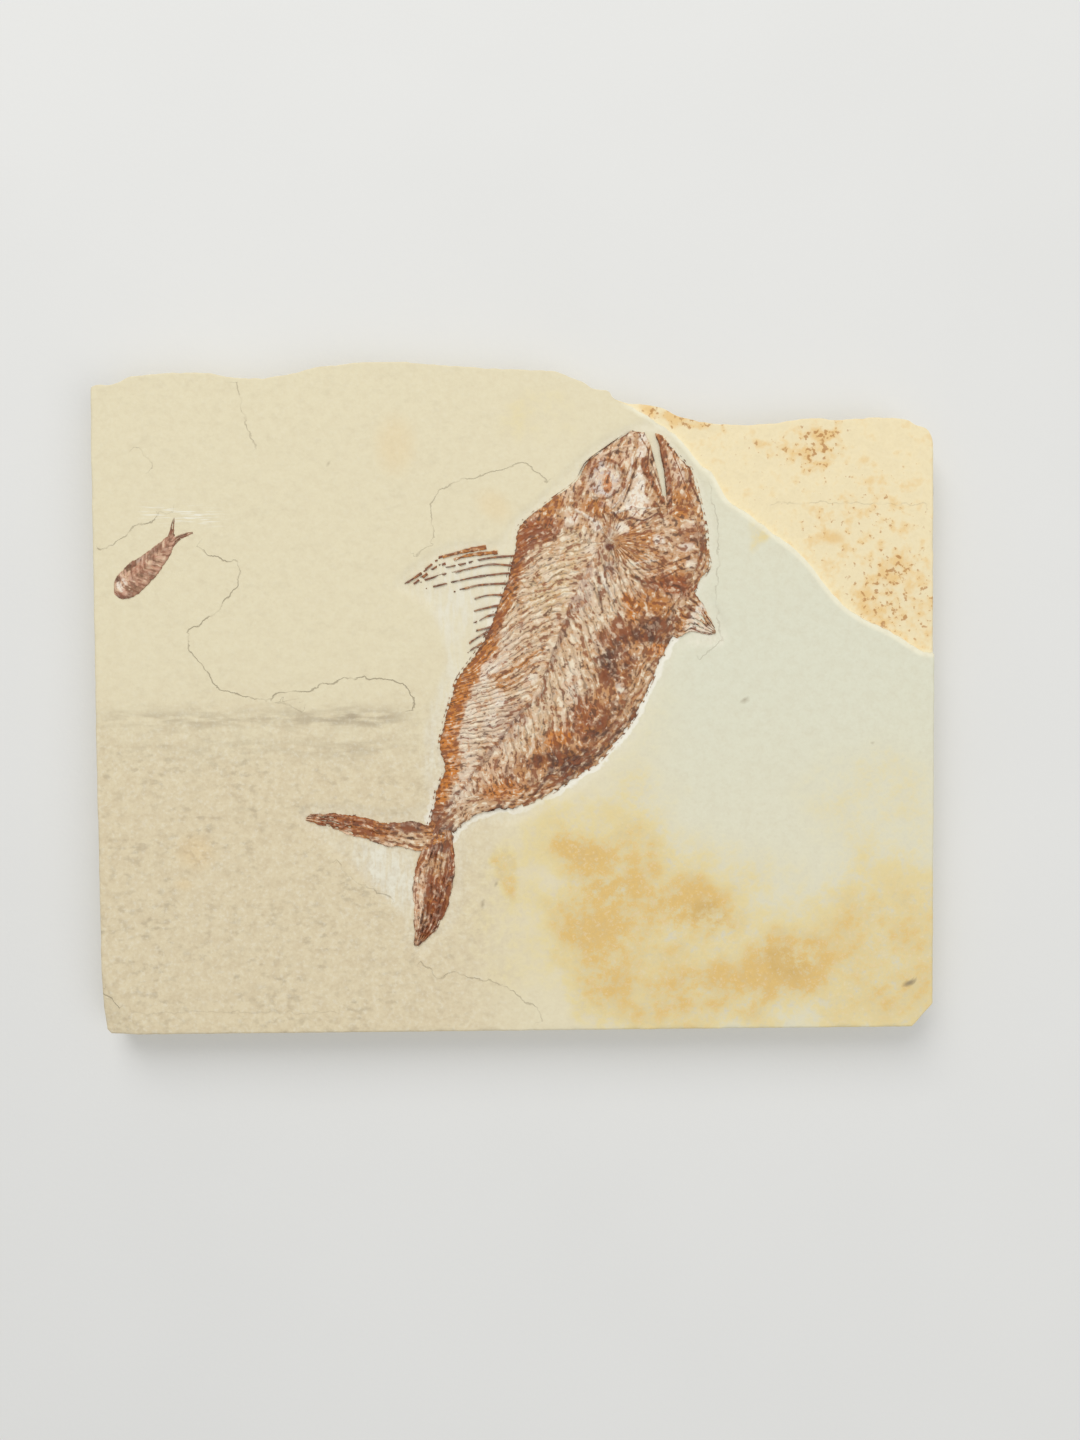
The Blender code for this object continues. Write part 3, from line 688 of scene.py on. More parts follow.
@dataclass
class Brush(Points):
    """Lays strokes and patches of colour and height on a piece's points."""

    ground: Tint = Tint.PALE_BONE
    colour: Array = field(init=False)
    height: Array = field(init=False)
    across: Array = field(init=False)  # millimetres across the bone's fibres
    along: Array = field(init=False)  # millimetres along them
    rib: Array = field(init=False)  # how clearly ribs show, 0 to 1
    rag: Array = field(init=False)  # noise that frays the rims of marks
    chop: Array = field(init=False)  # noise that breaks strokes up

    def __post_init__(self) -> None:
        """Start with plain bone, and draw the noise that frays and breaks every mark."""
        self.colour = np.tile(self.ground.light, (*self.x.shape, 1))
        self.height, self.rib = np.zeros(self.x.shape), np.zeros(self.x.shape)
        self.across, self.along = self.x, self.y
        self.rag = self.grain(1.8, 5, 5)
        self.chop = self.grain(1.3, 6)

    def wash(self, mask: Array, tint: Tint) -> None:
        """Mix a tint in by a mask of 0 to 1, as colour + (tint - colour) * mask."""
        self.colour += (tint.light - self.colour) * np.clip(mask, 0.0, 1.0)[..., None]

    def patch(self, area: Patch, fray: float = 0.42) -> None:
        """Lay a patch whose rim the noise moves by fray, a share of its radius."""
        reach = self.reach(area) + fray * self.rag
        self.wash(area.strength * ease(1.3, 0.6, reach), area.tint)

    def stroke(self, line: Stroke) -> None:
        """Lay a stroke: a half round ridge or groove, coloured across its width and broken by noise.

        Args:
            line: the stroke.
        """
        corners = np.asarray(line.path)
        margin = line.width + 0.5
        near = (self.x > corners[:, 0].min() - margin) & (self.x < corners[:, 0].max() + margin)
        near &= (self.y > corners[:, 1].min() - margin) & (self.y < corners[:, 1].max() + margin)
        if not near.any():
            return
        rag = self.rag[near]
        bent = Points(self.x[near] + 0.12 * rag, self.y[near] - 0.12 * self.chop[near])
        reading = bent.against(smooth_path(line.path, 6 * len(line.path)))
        half = 0.5 * line.width * (1.0 + 0.4 * rag) * (1.0 + (line.taper - 1.0) * reading.share**1.5)
        across = reading.distance / np.maximum(half, 0.1)
        mask = line.strength * ease(1.35, 0.6, across) * (0.45 + 0.55 * ease(-1.3, -0.2, self.chop[near]))
        tone = self.colour[near]
        self.colour[near] = tone + (line.tint.light - tone) * mask[:, None]
        self.height[near] += line.height * np.sqrt(np.clip(1.0 - across**2, 0.0, 1.0))

    def sink(self, share: Array, depth: float = HIDDEN) -> None:
        """Let the surface dive into the stone where the share nears 1."""
        self.height = self.height * (1.0 - share) + depth * share

    def piece(self, name: str, base: float, rows: slice = slice(None)) -> bpy.types.Object:
        """Make the object: the painted surface, walls down from its rim and a flat underside.

        Args:
            name: the object's name.
            base: height of the underside.
            rows: the grid's rows that it takes.

        Returns:
            The object with its colours and fibres as attributes.
        """
        tops = np.dstack([self.x, self.y, THICKNESS + self.height])[rows]
        shell = Shell(tops)
        under = tops.reshape(-1, 3)[shell.border] * (1, 1, 0) + (0, 0, THICKNESS + base)
        fields = {"tint": self.colour, "across": self.across, "along": self.along, "rib": self.rib}
        return shell.build(name, [under], {label: values[rows] for label, values in fields.items()})


def outward(path: Array, inner: Array, margin: float) -> Array:
    """A line of points moved away from an inner line by a margin."""
    away = path - inner
    return path + away / np.linalg.norm(away, axis=1)[:, None] * margin


# Matching places of the large fish's back, backbone and belly, from the snout to the tail's root
STATIONS: tuple[Path, ...] = (
    ((115.9, 128.3), (118.6, 128.2), (121.2, 127.8)),
    ((111.1, 125.0), (117.9, 123.6), (125.5, 122.3)),
    ((105.9, 121.2), (116.6, 118.6), (128.3, 118.9)),
    ((103.2, 117.0), (114.8, 113.6), (129.9, 112.7)),
    ((97.4, 112.8), (112.4, 109.0), (131.2, 106.6)),
    ((91.2, 107.8), (109.2, 104.2), (131.4, 101.8)),
    ((90.0, 102.5), (106.0, 98.6), (131.7, 98.4)),
    ((88.9, 97.8), (103.4, 93.4), (129.0, 94.2)),
    ((87.6, 94.0), (101.0, 88.7), (127.2, 90.6)),
    ((85.9, 90.0), (99.4, 83.8), (125.2, 86.1)),
    ((83.9, 84.6), (97.2, 77.8), (121.2, 78.6)),
    ((81.3, 80.3), (94.6, 72.6), (118.6, 73.0)),
    ((77.6, 75.2), (91.2, 68.2), (115.8, 67.2)),
    ((75.6, 69.2), (88.2, 64.2), (111.9, 61.7)),
    ((74.1, 63.9), (84.8, 59.8), (107.2, 56.7)),
    ((73.6, 60.0), (82.2, 56.6), (102.0, 53.3)),
    ((74.6, 55.8), (79.9, 53.4), (96.4, 49.9)),
    ((72.9, 51.7), (77.6, 50.0), (90.4, 47.6)),
    ((72.2, 47.9), (75.6, 46.6), (83.5, 46.7)),
    ((71.2, 44.6), (73.9, 43.6), (78.6, 44.2)),
    ((70.4, 41.8), (72.8, 40.9), (75.9, 40.6)),
)
FIRST_VERTEBRA = 5.0  # station at which the skull ends and the trunk starts


# Patches of colour on the large fish
HEAD_PATCHES = {
    "brown under the eye": Patch((107.2, 111.7), (3.8, 1.9), -30, Tint.ORANGE_BROWN, 0.8),
    "gill cover's brown": Patch((116.2, 103.3), (4.7, 3.8), 0, Tint.ORANGE_BROWN, 0.75),
    "orange of the jaw's hinge": Patch((125.9, 109.6), (1.9, 1.7), 0, Tint.ORANGE, 0.6),
    "brown of the throat": Patch((127.5, 105.3), (3.0, 3.0), 0, Tint.RED_BROWN, 0.5),
    "chalk at the nape": Patch((102.4, 108.7), (1.7, 1.5), 0, Tint.CHALK, 0.75),
    "chalk below the nape": Patch((105.8, 103.4), (1.3, 3.0), 20, Tint.CHALK, 0.5),
    "chalk of the shoulder": Patch((107.5, 107.0), (1.3, 1.1), 0, Tint.CHALK, 0.8),
    "chalk before the gill cover": Patch((112.9, 106.7), (1.5, 1.1), -20, Tint.CHALK, 0.8),
    "chalk in the gill cover": Patch((121.1, 104.1), (1.3, 1.3), 0, Tint.CHALK, 0.9),
    "pink of the jaw's corner": Patch((127.2, 107.6), (1.7, 1.1), 30, Tint.PINK_BONE, 0.85),
    "dark of the throat's edge": Patch((130.4, 103.4), (0.9, 2.4), 0, Tint.DARK_BROWN, 0.8),
    "chalk at the throat": Patch((126.4, 102.5), (1.7, 0.9), 10, Tint.CHALK, 0.65),
    "chalk behind the throat": Patch((127.5, 99.1), (1.5, 1.1), -20, Tint.CHALK, 0.6),
    "white of the snout": Patch((117.6, 124.2), (1.1, 2.6), -8, Tint.CHALK, 0.8),
    "white before the eye": Patch((114.2, 121.4), (1.6, 1.0), 20, Tint.PINK_BONE, 0.8),
    "white of the lower jaw": Patch((125.2, 118.6), (0.9, 3.0), 14, Tint.CHALK, 0.5),
    "brown of the lower jaw": Patch((126.0, 112.4), (2.6, 3.6), 14, Tint.ORANGE_BROWN, 0.8),
    "bone of the eye": Patch((109.8, 116.8), (3.4, 4.3), 0, Tint.EYE_BONE, 0.95),
}


TRUNK_PATCHES = {
    "yellow of the upper back": Patch((97.6, 94.9), (4.3, 6.4), -20, Tint.YELLOW_TAN, 0.8),
    "yellow of the shoulder": Patch((103.0, 103.4), (3.0, 3.4), 0, Tint.YELLOW_TAN, 0.5),
    "lilac of the shoulder": Patch((110.2, 98.2), (1.3, 2.6), 20, Tint.LILAC, 0.85),
    "lilac along the backbone": Patch((105.1, 93.8), (1.7, 6.0), -20, Tint.LILAC, 0.65),
    "pale of the rear": Patch((85.4, 56.6), (2.8, 6.0), -38, Tint.PINK_BONE, 0.6),
    "lilac of the middle": Patch((87.7, 65.2), (3.8, 6.4), -35, Tint.LILAC, 0.5),
    "chalk of the middle": Patch((85.0, 68.0), (1.7, 3.0), -20, Tint.CHALK, 0.5),
    "chalk of the upper middle": Patch((97.0, 96.4), (1.3, 1.7), 0, Tint.CHALK, 0.4),
    "chalk of the ribs": Patch((102.1, 72.5), (1.9, 5.5), -5, Tint.CHALK, 0.4),
    "orange streaks of the middle": Patch((87.6, 74.6), (2.6, 3.0), 0, Tint.ORANGE_BROWN, 0.7),
    "white of the middle": Patch((86.4, 71.0), (1.4, 2.2), 0, Tint.CHALK, 0.7),
    "white beside the band": Patch((84.6, 76.6), (1.6, 2.6), -20, Tint.CHALK, 0.7),
    "white of the upper middle": Patch((93.0, 75.0), (1.8, 1.2), 20, Tint.CHALK, 0.6),
    "orange of the back's middle": Patch((92.7, 78.2), (2.6, 1.9), 10, Tint.ORANGE_BROWN, 0.6),
    "tan breast": Patch((114.1, 83.0), (3.4, 2.1), 0, Tint.TAN, 0.4),
    "tan belly": Patch((116.5, 72.4), (3.4, 8.5), -35, Tint.TAN, 0.5),
}


DARK_PATCHES = {
    "red brown of the nape": Patch((95.2, 106.5), (5.8, 3.0), 35, Tint.RED_BROWN, 0.95),
    "orange of the nape": Patch((98.2, 111.3), (3.4, 1.9), 40, Tint.ORANGE_BROWN, 0.85),
    "under the gill cover": Patch((123.6, 94.4), (5.6, 2.1), -8, Tint.RED_BROWN, 0.9),
    "orange of the breast": Patch((115.0, 89.9), (1.9, 3.2), 15, Tint.ORANGE, 0.95),
    "dark breast": Patch((119.0, 85.6), (6.3, 2.3), 20, Tint.DARK_BROWN, 0.75),
    "red brown breast": Patch((112.0, 84.0), (4.5, 3.5), 20, Tint.RED_BROWN, 0.7),
    "orange under the gill cover": Patch((119.5, 91.0), (4.5, 2.4), -10, Tint.ORANGE_BROWN, 0.8),
    "orange before the fin": Patch((120.9, 81.5), (3.0, 1.7), 25, Tint.ORANGE, 0.75),
    "dark flank": Patch((110.2, 78.0), (2.8, 4.8), -30, Tint.DARK_BROWN, 0.8),
    "red brown flank": Patch((104.8, 67.2), (4.3, 4.3), -30, Tint.RED_BROWN, 0.8),
    "dark rear flank": Patch((109.0, 65.6), (2.2, 5.3), -38, Tint.DARK_BROWN, 0.7),
    "dark vent": Patch((101.5, 56.8), (4.7, 3.0), 38, Tint.UMBER, 0.95),
    "dark before the vent": Patch((97.2, 58.1), (3.4, 1.3), 10, Tint.UMBER, 0.8),
    "orange over the vent": Patch((99.2, 62.5), (2.8, 1.9), 20, Tint.ORANGE, 0.8),
    "orange of the tail's root": Patch((87.1, 51.6), (4.3, 1.9), 10, Tint.ORANGE, 0.7),
    "chalk fleck of the belly": Patch((112.5, 72.6), (1.1, 1.5), 0, Tint.CHALK, 0.6),
    "tail's root": Patch((73.6, 44.0), (3.4, 4.0), -30, Tint.GREY_BROWN, 0.75),
    "below the tail's root": Patch((78.5, 46.0), (4.0, 1.8), 10, Tint.TAN, 0.7),
    "pale window of the belly": Patch((117.0, 75.2), (2.0, 5.0), -35, Tint.TAN, 0.65),
}


# Its bones, lines and grooves
STROKES = {
    "cheek hollow": Stroke(((116.3, 111.6), (116.5, 114.6), (117.1, 119.8)), 4.6, Tint.CHALK, 0.95, -0.12,
        0.1),
    "skull roof's edge": Stroke(((116.3, 128.0), (112.8, 126.1), (110.3, 124.6), (107.1, 122.1),
        (105.1, 120.6), (104.2, 118.5)), 0.5, Tint.UMBER, 0.85, 0.12),
    "thick end of the skull roof": Stroke(((106.8, 121.9), (105.3, 120.6), (104.5, 119.1)), 1.1,
        Tint.UMBER, 0.7, 0.12),
    "front of the snout": Stroke(((116.3, 128.2), (117.5, 125.6), (118.8, 123.3), (118.8, 120.9)), 0.4,
        Tint.UMBER, 0.8, 0.1),
    "inside the snout": Stroke(((119.8, 122.0), (120.7, 120.5), (120.9, 118.8)), 0.9, Tint.UMBER, 0.8, 0.05),
    "upper jaw": Stroke(((117.7, 121.4), (118.9, 117.7), (120.6, 114.7), (121.9, 112.4)), 1.3,
        Tint.RED_BROWN, 0.85, 0.3),
    "upper jaw's hinge end": Stroke(((120.4, 111.7), (121.4, 109.4), (122.2, 107.5)), 0.9, Tint.UMBER,
        0.8, 0.2),
    "upper jaw's front edge": Stroke(((119.2, 121.8), (120.2, 118.3), (121.3, 115.4), (122.1, 112.8)),
        0.3, Tint.UMBER, 0.8, 0.1),
    "strut behind the eye": Stroke(((116.4, 121.8), (115.5, 118.0), (114.7, 115.6), (113.6, 112.5)), 0.5,
        Tint.UMBER, 0.9, 0.2),
    "pale rim behind the eye": Stroke(((115.4, 122.0), (115.1, 119.3), (114.2, 116.5), (112.7, 112.9),
        (111.0, 111.2)), 0.7, Tint.CHALK, 0.8, 0.25),
    "rim over the eye": Stroke(((106.6, 118.7), (107.7, 120.6), (109.8, 121.4), (111.9, 120.8),
        (113.6, 118.8)), 0.5, Tint.RED_BROWN, 0.6, 0.2),
    "brow": Stroke(((107.9, 121.7), (110.3, 123.1), (112.6, 124.0), (115.0, 124.4)), 0.8, Tint.PINK_BONE,
        0.7, 0.15),
    "brow's shadow": Stroke(((109.8, 122.3), (112.0, 123.1), (114.1, 122.9)), 0.5, Tint.UMBER, 0.6, 0.0),
    "rim under the eye": Stroke(((107.0, 113.6), (108.9, 113.1), (110.6, 113.5), (112.3, 114.8)), 0.5,
        Tint.UMBER, 0.6, 0.12),
    "pale edge of the cheek": Stroke(((111.8, 110.1), (115.2, 111.2), (119.1, 111.1)), 0.8, Tint.CHALK,
        0.85, 0.2),
    "dark edge of the cheek": Stroke(((111.0, 110.3), (112.9, 108.5), (115.0, 109.0), (117.6, 108.4),
        (120.6, 110.0)), 0.7, Tint.UMBER, 0.85, 0.1),
    "pale line behind the skull": Stroke(((103.3, 110.9), (105.4, 109.6), (107.3, 108.0), (109.0, 105.9)),
        0.6, Tint.CHALK, 0.75, 0.15),
    "inner edge of the lower jaw": Stroke(((121.3, 126.2), (122.6, 120.2), (123.3, 114.7),
        (123.3, 109.8)), 1.4, Tint.RED_BROWN, 0.8, 0.25),
    "dark line in the lower jaw": Stroke(((120.7, 126.0), (121.9, 120.7), (122.6, 114.9), (122.7, 109.8)),
        0.3, Tint.UMBER, 0.8, 0.0),
    "pale middle of the lower jaw": Stroke(((123.7, 121.3), (124.9, 117.4), (126.1, 114.0)), 2.0,
        Tint.PINK_BONE, 0.45, 0.1),
    "dark outer edge of the lower jaw": Stroke(((124.7, 123.0), (126.2, 121.7), (127.5, 118.9),
        (127.7, 116.6)), 1.1, Tint.UMBER, 0.85, 0.1),
    "outer line of the lower jaw": Stroke(((127.7, 116.6), (128.9, 114.0), (129.9, 111.6), (130.9, 108.9),
        (131.2, 106.1)), 0.4, Tint.UMBER, 0.8, 0.1),
    "groove along the lower jaw": Stroke(((123.1, 124.7), (124.7, 120.9), (126.4, 116.2), (128.5, 111.4)),
        0.35, Tint.RED_BROWN, 0.8, -0.1),
    "upper line of the gill cover": Stroke(((115.3, 99.2), (117.9, 99.6), (120.7, 100.0)), 0.5,
        Tint.CHALK, 0.7, 0.15),
    "second line of the gill cover": Stroke(((114.9, 98.2), (118.9, 97.9), (123.2, 99.1), (127.5, 100.8)),
        0.4, Tint.UMBER, 0.7, -0.05),
    "pale fold of the gill cover": Stroke(((115.3, 97.3), (118.5, 96.4), (121.9, 97.5), (126.2, 99.5)),
        0.55, Tint.PINK_BONE, 0.8, 0.15),
    "lower edge of the gill cover": Stroke(((114.9, 96.7), (118.3, 95.1), (121.5, 96.2), (125.8, 98.3)),
        0.5, Tint.UMBER, 0.85, 0.1),
    "pale shoulder splint": Stroke(((108.5, 97.2), (109.5, 94.6), (111.2, 91.6)), 0.7, Tint.CHALK, 0.9, 0.2),
    "dark shoulder gap": Stroke(((108.1, 96.5), (108.2, 92.7), (108.8, 88.9)), 0.6, Tint.UMBER, 0.85, -0.1),
    "first shoulder line": Stroke(((109.6, 99.7), (111.0, 96.3), (113.1, 92.9), (115.2, 90.1)), 0.35,
        Tint.UMBER, 0.7, 0.0),
    "second shoulder line": Stroke(((110.7, 100.6), (113.2, 97.1), (116.1, 94.1), (119.1, 91.5)), 0.6,
        Tint.PINK_BONE, 0.7, 0.2),
    "third shoulder line": Stroke(((111.1, 101.0), (114.7, 98.0), (117.8, 94.9)), 0.35, Tint.UMBER, 0.6, 0.0),
    "fourth shoulder line": Stroke(((109.2, 98.9), (110.0, 93.7), (111.8, 89.0), (114.1, 84.8)), 0.4,
        Tint.UMBER, 0.6, 0.0),
    "backbone behind the skull": Stroke(((110.5, 106.1), (109.0, 103.3), (107.5, 101.0), (105.1, 95.9),
        (102.9, 91.7), (101.0, 88.7)), 1.5, Tint.LILAC, 0.5, 0.15),
    "middle of the backbone": Stroke(((101.8, 90.0), (100.5, 85.3), (98.7, 81.1), (96.6, 75.6),
        (95.5, 71.7), (92.4, 69.2), (89.6, 66.0), (87.0, 62.5)), 1.3, Tint.GREY_BROWN, 0.55, 0.15),
    "rear of the backbone": Stroke(((87.0, 62.5), (84.0, 58.7), (80.4, 54.2), (76.3, 49.4), (72.8, 44.9)),
        1.2, Tint.GREY_BROWN, 0.5, 0.15),
    "orange streak of the middle": Stroke(((84.6, 75.6), (88.0, 76.2), (92.0, 78.4), (96.4, 81.6)), 1.3,
        Tint.ORANGE_BROWN, 0.8, 0.05),
    "second orange streak": Stroke(((85.0, 73.4), (89.0, 74.0), (93.4, 76.6)), 0.9, Tint.ORANGE_BROWN,
        0.7, 0.05),
    "dark blots behind the fin": Stroke(((124.2, 83.3), (120.0, 83.0), (115.8, 84.2), (110.9, 81.5),
        (109.2, 75.2)), 1.9, Tint.UMBER, 0.8, 0.05),
    "dark edge under the window": Stroke(((117.4, 69.2), (113.0, 64.8), (108.6, 59.8), (104.2, 55.8)),
        1.5, Tint.UMBER, 0.75, 0.05),
    "dark line over the vent": Stroke(((97.8, 56.0), (96.1, 53.4), (94.0, 50.7), (91.6, 48.6)), 0.8,
        Tint.UMBER, 0.8, 0.1),
    "belly's rear edge": Stroke(((90.1, 47.5), (85.0, 47.1), (81.8, 45.7), (78.3, 43.4)), 0.7, Tint.UMBER,
        0.75, 0.1),
}


@dataclass(frozen=True)
class Lie:
    """How the points of the large fish's head and trunk lie on it."""

    station: Array  # counted along the fish in the given stations
    v: Array  # share of the way out from the backbone, negative towards the back
    out: Array  # millimetres out from the backbone
    passed: Array  # millimetres along the backbone
    trunk: Array  # 1 in the trunk and 0 in the head
    back: PathReading  # against the back's line
    belly: PathReading  # against the belly's line

    @property
    def tooth(self) -> Array:
        """Waves along the back, 0 between its teeth and 1 on them."""
        return 0.5 + 0.5 * np.cos(2 * np.pi * self.back.share * BACK_LENGTH / TOOTH_PITCH)


@dataclass
class FishBody:
    """The large fish's head and trunk, in one sheet of relief from snout to tail.

    Its grid runs from row to row along the fish, and from back through backbone to belly in each row.
    """

    head_rows: int = 190
    trunk_rows: int = 410
    head_share: float = 0.25  # share of the length at which the head's piece ends
    dorsal_columns: int = 92
    ventral_columns: int = 138
    margin: float = 0.25  # how far the grid reaches past the outline
    base: float = -0.9  # height of the underside
    swell: float = 0.62  # height of the trunk's swell
    lean_stations: tuple[float, ...] = (5.0, 8.5, 11.5, 14.0, 20.0)
    leans: tuple[float, ...] = (0.6, 0.9, 1.35, 0.7, 0.5)  # the ribs' lean at those stations
    band_width: float = 3.1  # width of the orange band along the back

    mouth: Path = ((118.6, 129.0), (120.3, 124.6), (121.6, 118.4), (122.2, 114.0))
    eye: tuple[float, float] = (110.0, 116.5)
    pupil_radii: tuple[float, float] = (0.95, 1.95)
    orbit_radii: tuple[float, float] = (3.4, 4.6)
    hinge: tuple[float, float] = (110.6, 104.2)
    brush: Brush = field(init=False)
    on: Lie = field(init=False)

    def outline(self) -> Array:
        """The outline of head and trunk, down the back and up the belly."""
        lines = smooth_path(STATIONS, 90)
        return np.vstack([lines[:, 0], lines[::-1, 2]])

    def build(self) -> list[bpy.types.Object]:
        """Make the head and the trunk, which share one grid.

        Each place is backbone + (side - backbone) * |v|, with v from -1 at the back to 1 at the belly.

        Returns:
            The two objects.
        """
        knots = np.asarray(STATIONS)
        shares = np.concatenate([
            np.linspace(0.0, self.head_share, self.head_rows),
            np.linspace(self.head_share, 1.0, self.trunk_rows + 1)[1:],
        ])
        at = even_stations(knots, shares)
        back, bone, belly = curve_through(knots, at).transpose(1, 0, 2)
        v = np.concatenate([
            np.linspace(-1.0, 0.0, self.dorsal_columns),
            np.linspace(0.0, 1.0, self.ventral_columns)[1:],
        ])[None, :]
        sides = [outward(side, bone, self.margin)[:, None] for side in (back, belly)]
        leg = np.where((v < 0)[..., None], *sides) - bone[:, None]
        places = bone[:, None] + leg * np.abs(v)[..., None]
        brush = Brush(places[..., 0], places[..., 1])
        station = np.broadcast_to(at[:, None], brush.x.shape)
        steps = np.linalg.norm(np.diff(bone, axis=0), axis=1)
        on = Lie(
            station, v, np.abs(v) * np.linalg.norm(leg, axis=-1),
            np.concatenate([[0.0], np.cumsum(steps)])[:, None],
            ease(-0.5, 0.5, station - FIRST_VERTEBRA + 0.35 * brush.rag),
            *(brush.against(smooth_path(knots[:, line], 120)) for line in (0, 2)),
        )
        self.brush, self.on = brush, on
        for step in (self.lay_fibres, self.paint_trunk, self.paint_belly, self.paint_back, self.paint_head):
            step()
        for area in (*TRUNK_PATCHES.values(), *DARK_PATCHES.values()):
            brush.patch(area)
        for line in STROKES.values():
            brush.stroke(line)
        for step in (self.paint_eye, self.raise_relief, self.fray):
            step()
        return [
            brush.piece("fish_head", self.base, slice(0, self.head_rows)),
            brush.piece("fish_trunk", self.base, slice(self.head_rows - 1, None)),
        ]

    def lay_fibres(self) -> None:
        """Run the bone's fibres: as ribs in the trunk, along the belly's rim and round the gill's hinge.

        Above the backbone a rib shifts tailwards by lean * (0.7 out + 0.03 out^2), below it by
        1.4 out - 0.012 out^2.
        """
        brush, on = self.brush, self.on
        up_side, out = on.v < 0, on.out
        lean = np.interp(on.station, self.lean_stations, self.leans)
        shift = np.where(up_side, lean * (0.7 * out + 0.03 * out**2), 1.4 * out - 0.012 * out**2)
        bend = 0.45 * brush.grain(5.0, 21) + 0.26 * brush.grain(1.8, 25)
        rim = (on.belly.distance + 0.9 * brush.grain(3.0, 26) < 4.0) & (on.v > 0)
        across = np.where(rim, on.belly.distance, (on.passed - shift) * np.where(up_side, 0.76, 0.62)) + bend
        along = np.where(rim, on.belly.share * BELLY_LENGTH, out)
        right, up = brush.x - self.hinge[0], brush.y - self.hinge[1]
        radius = np.hypot(right, up)
        skull = on.trunk < 0.5
        fan = (right + 0.4 * up > -1.0) & (up < 6.0 + 0.1 * right)
        fan &= (on.belly.distance > 2.0) & (radius < 19.0)
        across = np.where(skull, 0.94 * brush.x - 0.33 * brush.y, across)
        along = np.where(skull, 0.33 * brush.x + 0.94 * brush.y, along)
        brush.across = np.where(fan, np.arctan2(up, right) * 10.0 + bend, across)
        brush.along = np.where(fan, radius, along)
        clear = ease(-1.4, 0.4, brush.grain(4.0, 27))
        brush.rib = on.trunk * ease(0.4, 2.2, out) * np.where(rim, 0.5, 0.3 + 0.7 * clear)

    def paint_trunk(self) -> None:
        """The flank: pale next to the back's band, lilac and tan towards the backbone and its ribs."""
        brush, on = self.brush, self.on
        cloud = brush.grain(5.0, 22, 4)
        streak = Points(brush.across, brush.along * 0.35).grain(0.9, 23)
        inwards = on.back.distance
        beside = ease(2.5, 3.8, inwards) * ease(9.0, 6.0, inwards + cloud) * ease(9.0, 11.0, on.station)
        for share, tint in (
            (0.6 * beside * ease(-0.8, 0.6, cloud + 0.5 * streak), Tint.CHALK),
            (0.6 * ease(0.2, 1.3, streak), Tint.TAN),
            (0.5 * ease(0.3, 1.4, -streak), Tint.CHALK),
            (0.5 * ease(0.2, 1.2, brush.grain(2.4, 24)), Tint.LILAC),
            (0.5 * ease(0.7, 1.5, -cloud), Tint.ORANGE_BROWN),
            (0.3 * (on.v > 0) * ease(0.5, 2.0, on.out), Tint.PALE_BONE),
        ):
            brush.wash(on.trunk * share, tint)
        brush.height += brush.rib * (-0.07 * np.sin(2 * np.pi * brush.across / RIB_PITCH) + 0.03 * streak)

    def paint_belly(self) -> None:
        """Dark blots where scales and skin crowd towards the belly."""
        brush, on = self.brush, self.on
        coarse = brush.grain(3.4, 31, 4)
        blot = brush.grain(1.2, 32, 4)
        inwards, share = on.belly.distance, on.belly.share
        band = ease(14.0, 8.0, inwards + 2.4 * coarse) * on.trunk * ease(0.97, 0.84, share)
        inner = band * ease(14.0, 8.0, inwards) * ease(2.0, 4.5, inwards + 1.4 * coarse)
        rim = band * ease(4.6, 2.8, inwards + coarse)
        brush.wash(band * 0.6, Tint.ORANGE_BROWN)
        brush.wash(inner * 0.7 * ease(-0.7, 0.7, coarse + 0.6 * blot), Tint.RED_BROWN)
        brush.wash(inner * 0.75 * ease(0.1, 1.0, 0.6 * coarse + blot), Tint.UMBER)
        brush.wash(band * 0.6 * ease(0.5, 1.3, brush.grain(1.0, 33)), Tint.PINK_BONE)
        brush.wash(rim * 0.85, Tint.TAN)
        comb = Points(inwards * 2.2, share * 60.0).grain(1.0, 34)
        brush.wash(rim * 0.8 * ease(0.0, 0.9, comb), Tint.RED_BROWN)
        brush.rib *= 1.0 - 0.85 * inner
        brush.height += inner * 0.07 * blot

    def paint_back(self) -> None:
        """The orange band along the back, darker and redder near the head."""
        brush, on = self.brush, self.on
        coarse = brush.grain(2.6, 41, 4)
        blot = brush.grain(0.9, 42)
        inwards = on.back.distance
        length = ease(3.6, 4.6, on.station)
        low = ease(9.0, 12.0, on.station)
        band = ease(1.2, 0.75, inwards / (self.band_width + 0.5 * low) + 0.3 * coarse) * length
        edge = ease(0.7, 0.3, inwards - 0.5 * (1.0 - on.tooth) + 0.2 * blot) * length
        brush.wash(band * 0.95, Tint.ORANGE_BROWN)
        brush.wash(band * low * 0.75 * ease(-1.4, 0.2, coarse), Tint.ORANGE)
        brush.wash(band * (1 - low) * 0.75 * ease(-0.6, 0.9, coarse), Tint.RED_BROWN)
        brush.wash(band * 0.5 * ease(0.3, 1.3, blot), Tint.RED_BROWN)
        brush.wash(edge * (0.8 - 0.25 * low) * ease(-1.2, 0.2, blot), Tint.UMBER)
        brush.rib *= 1.0 - 0.9 * band
        brush.height += band * 0.05 * blot

